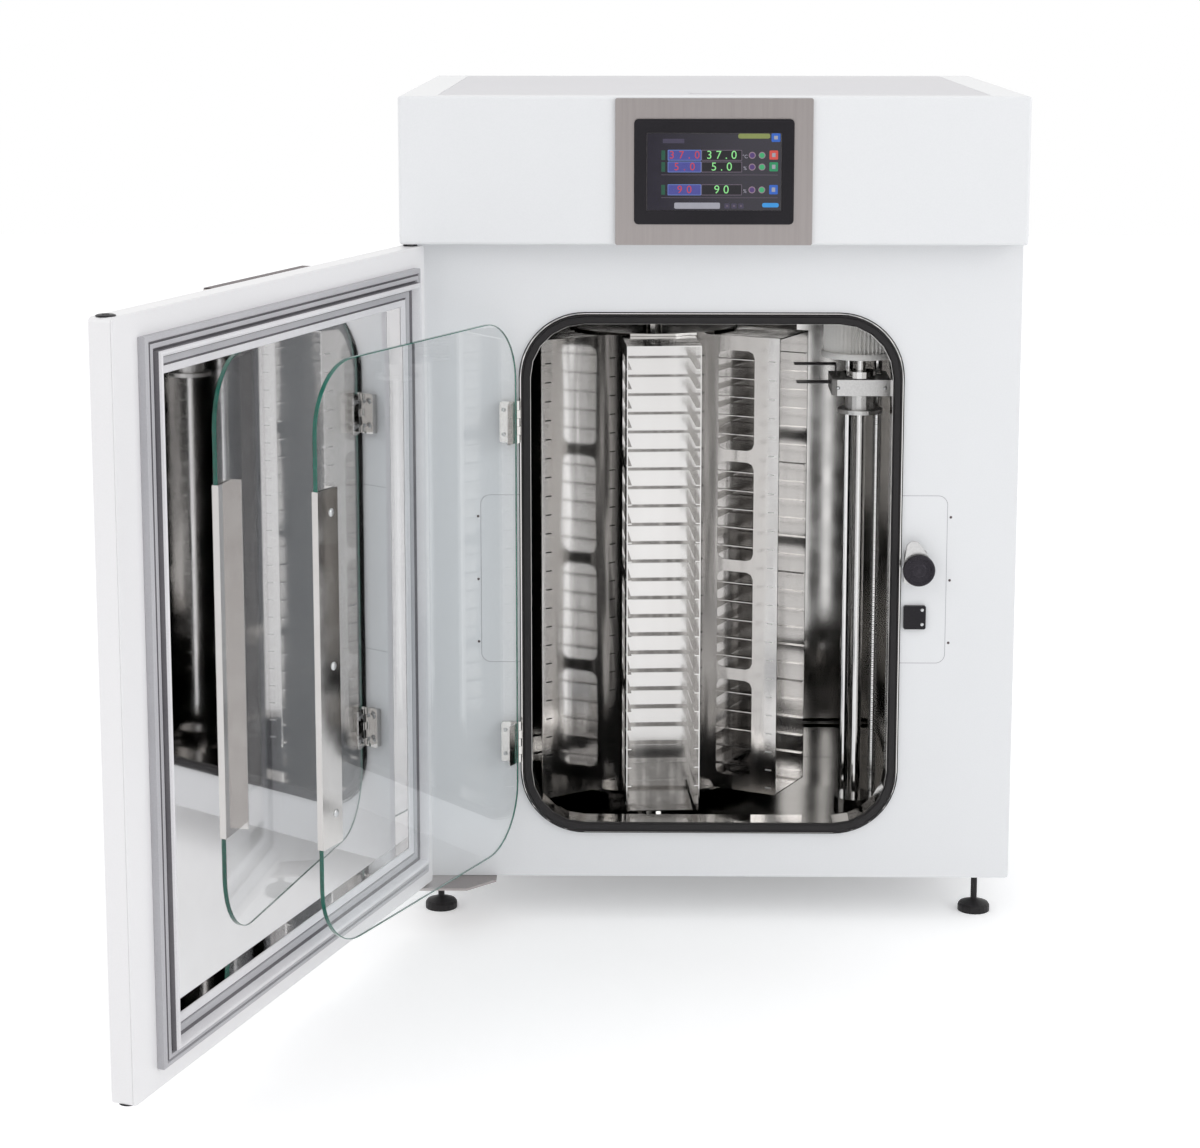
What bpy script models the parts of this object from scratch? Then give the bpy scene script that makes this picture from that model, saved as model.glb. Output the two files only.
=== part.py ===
"""Carbon dioxide incubator with a plate carousel, drawn with both doors open.

Every piece is drawn where it sits with the doors closed, in the cabinet's own coordinates: x from the
cabinet's middle, y from the body's front face towards the back, z from the floor. Each moving body
hangs on an empty at its joint's axis, and the empty of a door is turned to the angle it stands open at.
"""

import math

import bmesh
import bpy
from mathutils import Matrix

for old in list(bpy.data.objects):
    bpy.data.objects.remove(old, do_unlink=True)

# Clearances and sheet gauges, in metres.
GAP = 0.0003
HAIRLINE = 0.0005
SHEET = 0.0020
THIN_SHEET = 0.0012
ARC_STEPS = 5

# Cabinet body and control head.
CABINET_WIDTH = 0.740
BODY_DEPTH = 0.585
BODY_HEIGHT = 0.788
FOOT_HEIGHT = 0.059
HEAD_HEIGHT = 0.174
HEAD_OVERHANG = 0.044
BODY_TOP = FOOT_HEIGHT + BODY_HEIGHT
TOP = BODY_TOP + HEAD_HEIGHT
REAR_FACE = BODY_DEPTH + GAP + SHEET
HALF_WIDTH = CABINET_WIDTH / 2

SKIN_RADIUS = 0.003

# Insulation between the skins and the chamber, and the chamber's inside sizes.
SIDE_WALL = 0.092
ROOF = 0.057
FLOOR = 0.016
REAR_WALL = 0.085
CHAMBER_WIDTH = CABINET_WIDTH - 2 * SIDE_WALL
CHAMBER_BOTTOM = FOOT_HEIGHT + FLOOR
CHAMBER_TOP = BODY_TOP - ROOF
CHAMBER_FRONT = 0.030
CHAMBER_BACK = BODY_DEPTH - REAR_WALL
CHAMBER_RADIUS = 0.020

# Opening of the chamber: the flange's outside within the chamber's, and the rubber seal on it.
JAMB = 0.0475
SILL = 0.041
LINTEL = 0.029
OPENING_WIDTH = CHAMBER_WIDTH - 2 * JAMB
OPENING_BOTTOM = CHAMBER_BOTTOM + SILL
OPENING_TOP = CHAMBER_TOP - LINTEL
OPENING_RADIUS = 0.078
FLANGE_WIDTH = 0.013
FLANGE_SHEET = 0.0015
GASKET_FRONT = -0.0067
GASKET_FOOT_INSET = 0.0025
GASKET_WIDTH = 0.010
GASKET_SLOPE = 0.0020

# Levelling feet.
FOOT_SIDE_INSET = 0.035
FOOT_INSET = 0.052
FOOT_X = HALF_WIDTH - FOOT_SIDE_INSET
FOOT_RADIUS = 0.020
FOOT_RIM = 0.007
FOOT_SHOULDER = 0.010
FOOT_NECK = 0.015
STEM_RADIUS = 0.004

# Outer door, as closed: its margins inside the cabinet's front.
DOOR_LEFT = -HALF_WIDTH + 0.0005
DOOR_RIGHT = HALF_WIDTH - 0.0045
DOOR_BOTTOM = FOOT_HEIGHT + 0.0020
DOOR_TOP = BODY_TOP - 0.0025
DOOR_WIDTH = DOOR_RIGHT - DOOR_LEFT
DOOR_THICKNESS = 0.025
DOOR_OUTER = -HEAD_OVERHANG
DOOR_INNER = DOOR_OUTER + DOOR_THICKNESS
DOOR_SHEET = 0.0015
DOOR_RADIUS = 0.005
FOAM_MARGIN = 0.024
FOOT_PLATE_LENGTH = 0.150
FOOT_PLATE_INSET = 0.004
DOOR_PIVOT_INSET = 0.0115
DOOR_OPEN = math.radians(109)
PIN_RADIUS = 0.004
BUSH_RADIUS = 0.006
PIN_CLEARANCE = 0.0003
PIN_ROUND = 0.001
BUSH_LENGTH = 0.018
BUSH_RIM_RADIUS = 0.0085
BRACKET_SHEET = 0.003
BRACKET_FRONT = -0.050
BRACKET_BACK = 0.028
BRACKET_CHAMFER = 0.014
BRACKET_LENGTH = 0.108
BRACKET_SLANT = 0.034

# Door gasket: insets from the door's edges, and the recessed panel inside it.
SEAL_INSET_HINGE = 0.030
SEAL_INSET_FREE = 0.048
SEAL_INSET_BOTTOM = 0.0215
SEAL_INSET_TOP = 0.024
SEAL_WIDTH = 0.042
SEAL_RADIUS = 0.0
SEAL_CREST = -0.0016
SEAL_LIP = 0.009
SEAL_BEAD_LOW = 0.0110
SEAL_BEAD_HIGH = 0.0240
PANEL_RECESS = 0.0085

# Steel plate on the head and the band that carries it on down the door.
PLATE_WIDTH = 0.231
PLATE_SHEET = 0.0037
BAND_DEPTH = 0.0105
BEZEL_WIDTH = 0.187
BEZEL_HEIGHT = 0.123
BEZEL_DEPTH = 0.003
BEZEL_MIDDLE = BODY_TOP + 0.0865
SCREEN_WIDTH = 0.157
SCREEN_HEIGHT = 0.090

# Lid of the head with its round-cornered cap, and the circuit board behind the screen.
MOUTH_SIDE_INSET = 0.045
MOUTH_REAR_INSET = 0.020
MOUTH_FRONT = -0.020
MOUTH_RADIUS = 0.008
CAP_LOW = (-0.029, 0.020)
CAP_HIGH = (0.027, 0.100)
CAP_RADIUS = 0.020
CAP_RISE = 0.0004
BOARD_WIDTH = 0.210
BOARD_HEIGHT = 0.126
BOARD_BOTTOM = BODY_TOP + 0.025
BOARD_THICKNESS = 0.0016
BOARD_MARGIN = 0.010
STANDOFF = 0.007
STANDOFF_RADIUS = 0.003
POWER_PARTS = (0.080, 0.030, 0.070)

# Glass door, as closed: its place against the opening.
GLASS_HINGE_X = -OPENING_WIDTH / 2 - 0.003
GLASS_HINGE_Y = -0.0108
GLASS_LEFT = -OPENING_WIDTH / 2 + 0.003
GLASS_RIGHT = OPENING_WIDTH / 2 - 0.004
GLASS_BOTTOM = OPENING_BOTTOM - 0.0065
GLASS_TOP = OPENING_TOP - 0.004
GLASS_THICKNESS = 0.005
GLASS_RADIUS = 0.075
GLASS_OPEN = math.radians(115)
GLASS_FRONT = GLASS_HINGE_Y - GLASS_THICKNESS / 2
GLASS_BACK = GLASS_HINGE_Y + GLASS_THICKNESS / 2
LATCH_X = OPENING_WIDTH / 2 + 0.0205
LATCH_Z = OPENING_BOTTOM + 0.336
HANDLE_BOTTOM = LATCH_Z - 0.222
HANDLE_TOP = LATCH_Z + 0.171
HANDLE_WIDTH = 0.040
HANDLE_SHEET = 0.0009
GRIP_DEPTH = 0.011
KNUCKLE_RADIUS = 0.004
KNUCKLE_BORE = 0.0017
KNUCKLE_PITCH = 0.010
LEAF_SHEET = 0.0012
LEAF_WIDTH = 0.024
HINGE_PIN_RADIUS = 0.0014
HINGE_HEIGHTS = {"upper": OPENING_TOP - 0.131, "lower": OPENING_BOTTOM + 0.117}
KNUCKLE_COUNT = 5

# Cam latch of the glass door and the door switch under it.
CAM_RADIUS = 0.0185
CAM_TIP_RADIUS = 0.009
CAM_TIP = (-0.006, 0.026)
CAM_BACK = -0.0150
CAM_THICKNESS = 0.0045
KNOB_RADIUS = 0.0195
KNOB_DEPTH = 0.0064
LATCH_SHAFT_RADIUS = 0.004
LATCH_BASE_LEFT = LATCH_X - 0.0165
LATCH_BASE_RIGHT = LATCH_X + 0.011
LATCH_BASE_HALF = 0.021
LATCH_BASE_DEPTH = 0.006
LATCH_BOSS_RADIUS = 0.011
SWITCH_LOW = (LATCH_X - 0.016, LATCH_Z - 0.077)
SWITCH_HIGH = (LATCH_X + 0.011, LATCH_Z - 0.048)
SWITCH_DEPTH = 0.0055

# Plate carousel.
CAROUSEL_X = -CHAMBER_WIDTH / 2 + 0.208
CAROUSEL_Y = (CHAMBER_FRONT + CHAMBER_BACK) / 2 - 0.003
CAROUSEL_PHASE = math.radians(4)
HOTEL_COUNT = 6
HOTEL_WIDTH = 0.092
HOTEL_DEPTH = (CHAMBER_BACK - CHAMBER_FRONT) / 2 - 0.117
HOTEL_INNER = 0.0805
HOTEL_BOTTOM = CHAMBER_BOTTOM + 0.0475
HOTEL_HEIGHT = CHAMBER_TOP - 0.0775 - HOTEL_BOTTOM
HOTEL_WALL = 0.0014
SLOT_PITCH = 0.024
SLOT_MARGIN = 0.007
SLOT_COUNT = round((HOTEL_HEIGHT - 2 * SLOT_MARGIN) / SLOT_PITCH)
LEDGE_REACH = 0.005
LEDGE_THICKNESS = 0.0012
WINDOW_COUNT = 4
WINDOW_WIDTH = 0.050
WINDOW_MARGIN = 0.0185
WINDOW_WEB = 0.015
WINDOW_PITCH = (HOTEL_HEIGHT - 2 * WINDOW_MARGIN + WINDOW_WEB) / WINDOW_COUNT
WINDOW_HEIGHT = WINDOW_PITCH - WINDOW_WEB
WINDOW_RADIUS = 0.009
HUB_RADIUS = 0.0285
HUB_TOP = CHAMBER_BOTTOM + 0.0335
HUB_EDGE = 0.001
DISC_RADIUS = 0.120
DISC_THICKNESS = 0.004
DISC_BOSS_RADIUS = 0.022
COLUMN_RADIUS = 0.012
COLUMN_TOP = CHAMBER_TOP - 0.008
TOP_PLATE_RADIUS = 0.110
TOP_PLATE_SHEET = 0.003
BEARING_RADIUS = 0.030
BEARING_DEPTH = 0.024

# Air filter under the chamber's ceiling, over the plate lift.
FILTER_BOTTOM = CHAMBER_TOP - 0.097
FILTER_RADIUS = 0.0455
FILTER_LIP_RADIUS = 0.048
FILTER_LIP = 0.008
FILTER_CROWN = 0.012
FILTER_CROWN_RADIUS = 0.050

# Plate lift beside the carousel.
MAST_X = CHAMBER_WIDTH / 2 - 0.091
MAST_Y = CHAMBER_FRONT + 0.075
MAST_RADIUS = 0.007
MAST_TOP = FILTER_BOTTOM - HAIRLINE
BASE_COLLAR_RADIUS = 0.0255
BASE_COLLAR_TOP = CHAMBER_BOTTOM + 0.058
BASE_COLLAR_BOTTOM = CHAMBER_BOTTOM + 0.035
BASE_NECK_RADIUS = 0.018
TOP_COLLAR_RADIUS = 0.0185
TOP_COLLAR = 0.008
REAR_ROD = (MAST_X - 0.011, MAST_Y + 0.045)
REAR_ROD_RADIUS = 0.006
SCREW = (MAST_X + 0.0235, MAST_Y + 0.025)
SCREW_RADIUS = 0.005
BLOCK_LOW = (MAST_X - 0.036, MAST_Y - 0.020, FILTER_BOTTOM - 0.045)
BLOCK_HIGH = (MAST_X + 0.036, MAST_Y + 0.060, FILTER_BOTTOM - 0.025)
BLOCK_CHAMFER = 0.006
NUT_FLANGE_RADIUS = 0.028
NUT_NECK_RADIUS = 0.019
NUT_BOTTOM = BLOCK_LOW[2] - 0.023
NUT_FLANGE = 0.005
BLADE_LOW = (MAST_X - 0.078, MAST_Y + 0.0135)
BLADE_HIGH = (MAST_X - 0.015, MAST_Y + 0.0325)
BLADE_Z = BLOCK_LOW[2] + 0.0115
BLADE_THICKNESS = 0.0016
BLADE_STROKE = 0.030
FINGER_Z = BLOCK_HIGH[2] + 0.0143
FINGER_SHEET = 0.0012
FINGER_OVERHANG = 0.003
FINGER_RISER_INSET = 0.006

# Water pan along the chamber's back wall.
PAN_WIDTH = CHAMBER_WIDTH - 0.076
PAN_DEPTH = 0.024
PAN_HEIGHT = 0.042
PAN_CLEARANCE = 0.003
PAN_RADIUS = 0.004

# Rear fittings: where each sits on the rear panel, and its sizes.
INLET_LENGTH = 0.018
INLET_PLACE = (-0.220, BODY_TOP - 0.127)
SOCKET_LOW = (0.190, FOOT_HEIGHT + 0.041)
SOCKET_HIGH = (0.240, FOOT_HEIGHT + 0.071)
SOCKET_DEPTH = 0.012
SOCKET_FLOOR = 0.002
SOCKET_RIM = (0.008, 0.005)
SOCKET_RADIUS = 0.004
STOPPER_PLACE = (0.180, BODY_TOP - 0.247)
STOPPER_RADIUS = 0.024
STOPPER_FACE_RADIUS = 0.020
STOPPER_DEPTH = 0.012
STOPPER_ROUND = 0.004


parts = bpy.data.collections.new("carbon_dioxide_incubator")
bpy.context.scene.collection.children.link(parts)


def material(name, colour, roughness, metallic=0.0, transmission=0.0):
    """A Principled material in the part's own colour."""
    made = bpy.data.materials.new(name)
    made.use_nodes = True
    shader = made.node_tree.nodes["Principled BSDF"]
    shader.inputs["Base Color"].default_value = (*colour, 1.0)
    shader.inputs["Roughness"].default_value = roughness
    shader.inputs["Metallic"].default_value = metallic
    shader.inputs["Transmission Weight"].default_value = transmission
    return made


WHITE = material("white_enamel", (0.80, 0.81, 0.83), 0.35)
IVORY = material("ivory_plastic", (0.78, 0.76, 0.68), 0.45)
STEEL = material("polished_steel", (0.74, 0.73, 0.71), 0.12, 1.0)
BRUSHED = material("brushed_steel", (0.42, 0.38, 0.37), 0.38, 1.0)
BLACK = material("black_plastic", (0.02, 0.02, 0.022), 0.35)
RUBBER = material("black_rubber", (0.015, 0.014, 0.016), 0.6)
SEAL = material("grey_seal", (0.42, 0.42, 0.44), 0.55)
FOAM = material("foam", (0.75, 0.68, 0.45), 0.9)
GLASS = material("clear_glass", (0.85, 0.95, 0.92), 0.03, 0.0, 1.0)
SCREEN = material("screen_glass", (0.01, 0.01, 0.015), 0.08)
ALUMINIUM = material("satin_aluminium", (0.62, 0.62, 0.64), 0.35, 1.0)
PAPER = material("filter_paper", (0.86, 0.85, 0.82), 0.8)
BOARD = material("circuit_board", (0.03, 0.16, 0.08), 0.5)


def empty(name, location, turn=0.0, parent=None):
    """An empty that carries the pieces of one body."""
    holder = bpy.data.objects.new(name, None)
    holder.location = location
    holder.rotation_euler = (0.0, 0.0, turn)
    holder.parent = parent
    parts.objects.link(holder)
    return holder


def arc(cx, cy, radius, start, end, steps):
    """Points along an arc, angles in degrees."""
    turns = [math.radians(start + (end - start) * i / steps) for i in range(steps + 1)]
    return [(cx + radius * math.cos(t), cy + radius * math.sin(t)) for t in turns]


def circle(cx, cy, radius, steps=16):
    """A closed circle, counter-clockwise."""
    return arc(cx, cy, radius, 0, 360, steps)[:-1]


def rounded(low, high, radius, steps=ARC_STEPS):
    """A rectangle with round corners, counter-clockwise from its lower right corner."""
    (x0, z0), (x1, z1) = low, high
    if radius <= 0:
        return [(x1, z0), (x1, z1), (x0, z1), (x0, z0)]
    return (arc(x1 - radius, z0 + radius, radius, -90, 0, steps)
            + arc(x1 - radius, z1 - radius, radius, 0, 90, steps)
            + arc(x0 + radius, z1 - radius, radius, 90, 180, steps)
            + arc(x0 + radius, z0 + radius, radius, 180, 270, steps))


def grown(low, high, radius, by, steps=ARC_STEPS):
    """The same rounded rectangle with every side moved out by a distance."""
    return rounded((low[0] - by, low[1] - by), (high[0] + by, high[1] + by), max(radius + by, 0.0), steps)


def mesh_object(name, bm):
    """Turn a bmesh into an object with merged corners and outward faces."""
    bmesh.ops.remove_doubles(bm, verts=bm.verts, dist=0.000005)
    bmesh.ops.recalc_face_normals(bm, faces=bm.faces)
    mesh = bpy.data.meshes.new(name)
    bm.to_mesh(mesh)
    bm.free()
    made = bpy.data.objects.new(name, mesh)
    parts.objects.link(made)
    return made


AXES = {
    "X": Matrix(((0, 0, 1, 0), (1, 0, 0, 0), (0, 1, 0, 0), (0, 0, 0, 1))),
    "Y": Matrix(((1, 0, 0, 0), (0, 0, -1, 0), (0, 1, 0, 0), (0, 0, 0, 1))),
    "Z": Matrix.Identity(4),
}


def plate(name, outlines, low, high, axis="Y"):
    """A flat outline, with holes, thickened along one axis between two planes."""
    curve = bpy.data.curves.new(name, "CURVE")
    curve.dimensions = "2D"
    curve.fill_mode = "BOTH"
    curve.extrude = (high - low) / 2
    for outline in outlines:
        spline = curve.splines.new("POLY")
        spline.points.add(len(outline) - 1)
        for point, (u, v) in zip(spline.points, outline):
            point.co = (u, v, 0.0, 1.0)
        spline.use_cyclic_u = True
    flat = bpy.data.objects.new(name, curve)
    parts.objects.link(flat)
    bpy.context.view_layer.update()
    mesh = bpy.data.meshes.new_from_object(flat.evaluated_get(bpy.context.evaluated_depsgraph_get()))
    bpy.data.objects.remove(flat, do_unlink=True)
    sign = -1 if axis == "Y" else 1
    bm = bmesh.new()
    bm.from_mesh(mesh)
    bm.transform(AXES[axis] @ Matrix.Translation((0, 0, sign * (low + high) / 2)))
    bpy.data.meshes.remove(mesh)
    return mesh_object(name, bm)


def box(name, low, high, bevel=0.0):
    """A block between two corners, its edges broken by a bevel."""
    bm = bmesh.new()
    bmesh.ops.create_cube(bm, size=1.0)
    size = [b - a for a, b in zip(low, high)]
    middle = [(a + b) / 2 for a, b in zip(low, high)]
    bmesh.ops.scale(bm, vec=size, verts=bm.verts)
    bmesh.ops.translate(bm, vec=middle, verts=bm.verts)
    if bevel:
        bmesh.ops.bevel(bm, geom=bm.edges[:], offset=bevel, segments=2, profile=0.5, affect="EDGES")
    return mesh_object(name, bm)


def turned(name, profile, centre, axis="Z", steps=24):
    """A turned piece: (radius, height) points from the top down its outer side, spun by a Screw modifier."""
    bm = bmesh.new()
    verts = [bm.verts.new((radius, 0.0, height)) for radius, height in profile]
    for first, second in zip(verts, verts[1:]):
        bm.edges.new((first, second))
    if profile[0][0] > 0:
        bm.edges.new((verts[-1], verts[0]))
    mesh = bpy.data.meshes.new(name)
    bm.to_mesh(mesh)
    bm.free()
    made = bpy.data.objects.new(name, mesh)
    parts.objects.link(made)
    screw = made.modifiers.new("turn", "SCREW")
    screw.steps = steps
    screw.render_steps = steps
    screw.use_merge_vertices = True
    screw.merge_threshold = 0.00001
    bake(made)
    tilt = Matrix.Rotation(math.radians(90), 4, "X") if axis == "Y" else Matrix.Identity(4)
    bm = bmesh.new()
    bm.from_mesh(made.data)
    bm.transform(Matrix.Translation(centre) @ tilt)
    bpy.data.objects.remove(made, do_unlink=True)
    return mesh_object(name, bm)


def pan(name, outline, opening, floor, wall):
    """A deep-drawn pan: its outside is the outline and the floor plane, and its wall lies within them."""
    bm = bmesh.new()
    face = bm.faces.new([bm.verts.new((x, floor, z)) for x, z in outline])
    sides = bmesh.ops.extrude_edge_only(bm, edges=face.edges[:])
    lifted = [item for item in sides["geom"] if isinstance(item, bmesh.types.BMVert)]
    bmesh.ops.translate(bm, vec=(0, opening - floor, 0), verts=lifted)
    bmesh.ops.recalc_face_normals(bm, faces=bm.faces)
    mesh = bpy.data.meshes.new(name)
    bm.to_mesh(mesh)
    bm.free()
    made = bpy.data.objects.new(name, mesh)
    parts.objects.link(made)
    skin = made.modifiers.new("wall", "SOLIDIFY")
    skin.thickness = wall
    skin.offset = -1.0
    skin.use_even_offset = True
    bake(made)
    return made


def profiled_ring(name, low, high, radius, profile, steps=ARC_STEPS):
    """A section of (inset, y) points carried round a rounded rectangle, as an extruded seal is."""
    bm = bmesh.new()
    loops = []
    for inset, y in profile:
        loops.append([bm.verts.new((x, y, z)) for x, z in grown(low, high, radius, -inset, steps)])
    count = len(loops[0])
    for first, second in zip(loops, loops[1:] + loops[:1]):
        for i in range(count):
            j = (i + 1) % count
            bm.faces.new((first[i], first[j], second[j], second[i]))
    return mesh_object(name, bm)


def bake(piece):
    """Replace a piece's mesh with the result of its modifiers."""
    bpy.context.view_layer.update()
    result = bpy.data.meshes.new_from_object(piece.evaluated_get(bpy.context.evaluated_depsgraph_get()))
    piece.modifiers.clear()
    piece.data = result


def boolean(piece, tool, operation):
    """Cut a tool from a piece, or weld it on, and drop the tool."""
    step = piece.modifiers.new(operation.lower(), "BOOLEAN")
    step.operation = operation
    step.object = tool
    step.solver = "EXACT"
    bake(piece)
    bpy.data.objects.remove(tool, do_unlink=True)


def cut(piece, tool):
    boolean(piece, tool, "DIFFERENCE")


def weld(piece, tool):
    boolean(piece, tool, "UNION")


def finish(piece, holder, coat):
    """Give a piece its material and hang it on its body, with its place kept relative to the axis."""
    piece.data.materials.clear()
    piece.data.materials.append(coat)
    piece.data.transform(Matrix.Translation((-holder["axis_x"], -holder["axis_y"], -holder["axis_z"])))
    piece.parent = holder
    piece.data.shade_smooth()
    piece.data.set_sharp_from_angle(angle=math.radians(35))
    return piece


def body(name, axis_point, turn=0.0, parent=None):
    """An empty on a body's axis, which remembers that axis in the cabinet's coordinates."""
    offset = axis_point
    if parent is not None:
        offset = [a - parent[key] for a, key in zip(axis_point, ("axis_x", "axis_y", "axis_z"))]
    holder = empty(name, offset, turn, parent)
    for key, value in zip(("axis_x", "axis_y", "axis_z"), axis_point):
        holder[key] = value
    return holder


# The origin lies under the middle of the whole part as it stands, with its doors open.
DOOR_PIVOT_X = DOOR_LEFT + DOOR_PIVOT_INSET
DOOR_PIVOT_Y = (DOOR_OUTER + DOOR_INNER) / 2
door_reach = DOOR_WIDTH - DOOR_PIVOT_INSET
half_door = (DOOR_INNER - DOOR_OUTER) / 2
reach_left = DOOR_PIVOT_X + door_reach * math.cos(DOOR_OPEN) - half_door * math.sin(DOOR_OPEN)
reach_front = DOOR_PIVOT_Y - door_reach * math.sin(DOOR_OPEN) + half_door * math.cos(DOOR_OPEN)
reach_back = REAR_FACE + INLET_LENGTH
ORIGIN_X = (reach_left + HALF_WIDTH) / 2
ORIGIN_Y = (reach_front + reach_back) / 2

whole = body("incubator_frame", (0.0, 0.0, 0.0))
whole.location = (-ORIGIN_X, -ORIGIN_Y, 0.0)
outer_door = body("outer_door_axis", (DOOR_PIVOT_X, DOOR_PIVOT_Y, 0.0), -DOOR_OPEN, whole)
glass_door = body("glass_door_axis", (GLASS_HINGE_X, GLASS_HINGE_Y, 0.0), -GLASS_OPEN, whole)
latch = body("latch_axis", (LATCH_X, CAM_BACK, LATCH_Z), 0.0, whole)
carousel = body("carousel_axis", (CAROUSEL_X, CAROUSEL_Y, 0.0), 0.0, whole)
carriage = body("lift_carriage_place", (MAST_X, MAST_Y, BLOCK_LOW[2]), 0.0, whole)
blade_slide = body("blade_place", (BLADE_LOW[0], BLADE_LOW[1], BLADE_Z), 0.0, carriage)
screw_axis = body("lift_screw_axis", (SCREW[0], SCREW[1], 0.0), 0.0, whole)


def opening_box(grow=0.0):
    """Corners of the opening's flange, moved out by a distance."""
    half = OPENING_WIDTH / 2 + grow
    return ((-half, OPENING_BOTTOM - grow), (half, OPENING_TOP + grow))


FLANGE = opening_box()
COLLAR_OUTER = -FLANGE_WIDTH + THIN_SHEET


def collar_hole(clearance=GAP):
    """The outline that the opening's collar passes through."""
    return grown(*FLANGE, OPENING_RADIUS, COLLAR_OUTER + clearance)


def cabinet():
    """Outer skins, insulation and the polished chamber."""
    outline = rounded((-HALF_WIDTH, FOOT_HEIGHT), (HALF_WIDTH, BODY_TOP - GAP), SKIN_RADIUS, 2)
    inner = rounded((-HALF_WIDTH + SHEET, FOOT_HEIGHT + SHEET),
                    (HALF_WIDTH - SHEET, BODY_TOP - GAP - SHEET), SKIN_RADIUS - SHEET, 2)
    finish(plate("cabinet_shell", [outline, inner], SHEET + GAP, BODY_DEPTH), whole, WHITE)
    finish(plate("front_panel", [outline, collar_hole()], 0.0, SHEET), whole, WHITE)
    finish(plate("rear_panel", [outline], BODY_DEPTH + GAP, REAR_FACE), whole, WHITE)
    half = CHAMBER_WIDTH / 2
    low, high = (-half, CHAMBER_BOTTOM), (half, CHAMBER_TOP)
    liner = pan("chamber_liner", grown(low, high, CHAMBER_RADIUS, THIN_SHEET),
                CHAMBER_FRONT, CHAMBER_BACK + THIN_SHEET, THIN_SHEET)
    weld(liner, plate("liner_return", [grown(low, high, CHAMBER_RADIUS, THIN_SHEET), collar_hole()],
                      CHAMBER_FRONT - THIN_SHEET, CHAMBER_FRONT + GAP))
    finish(liner, whole, STEEL)
    slack = THIN_SHEET + GAP
    foam = box("insulation", (-HALF_WIDTH + SHEET + GAP, SHEET + GAP, FOOT_HEIGHT + SHEET + GAP),
               (HALF_WIDTH - SHEET - GAP, BODY_DEPTH - GAP, BODY_TOP - SHEET - 2 * GAP))
    cut(foam, plate("chamber_space", [grown(low, high, CHAMBER_RADIUS, slack)],
                    CHAMBER_FRONT - slack, CHAMBER_BACK + slack))
    cut(foam, plate("collar_space", [collar_hole()], 0.0, CHAMBER_FRONT))
    finish(foam, whole, FOAM)


def opening():
    """The stainless collar of the opening and the rubber seal on its flange."""
    back = CHAMBER_FRONT + GAP
    profile = [(0.0, -GAP - FLANGE_SHEET), (FLANGE_WIDTH, -GAP - FLANGE_SHEET), (FLANGE_WIDTH, back),
               (-COLLAR_OUTER, back), (-COLLAR_OUTER, -GAP), (0.0, -GAP)]
    finish(profiled_ring("opening_trim", *FLANGE, OPENING_RADIUS, profile), whole, STEEL)
    foot = -2 * GAP - FLANGE_SHEET
    near = GASKET_FOOT_INSET
    far = near + GASKET_WIDTH
    seal = [(near, foot), (near, foot - GASKET_FOOT_INSET), (near + GASKET_SLOPE, GASKET_FRONT),
            (far - GASKET_SLOPE, GASKET_FRONT), (far, foot - GASKET_FOOT_INSET), (far, foot)]
    finish(profiled_ring("chamber_gasket", *FLANGE, OPENING_RADIUS, seal), whole, RUBBER)


def feet():
    """Four screwed levelling feet, each a stem moulded into a round pad."""
    top = FOOT_HEIGHT - GAP
    profile = [(0.0, top), (STEM_RADIUS, top), (STEM_RADIUS, FOOT_NECK),
               (0.45 * FOOT_RADIUS, 0.87 * FOOT_NECK), (0.90 * FOOT_RADIUS, FOOT_SHOULDER),
               (FOOT_RADIUS, FOOT_RIM), (FOOT_RADIUS, 0.0), (0.0, 0.0)]
    for side, x in (("left", -FOOT_X), ("right", FOOT_X)):
        for end, y in (("front", FOOT_INSET), ("rear", BODY_DEPTH - FOOT_INSET)):
            finish(turned(f"foot_{end}_{side}", profile, (x, y, 0.0), steps=20), whole, BLACK)


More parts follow.
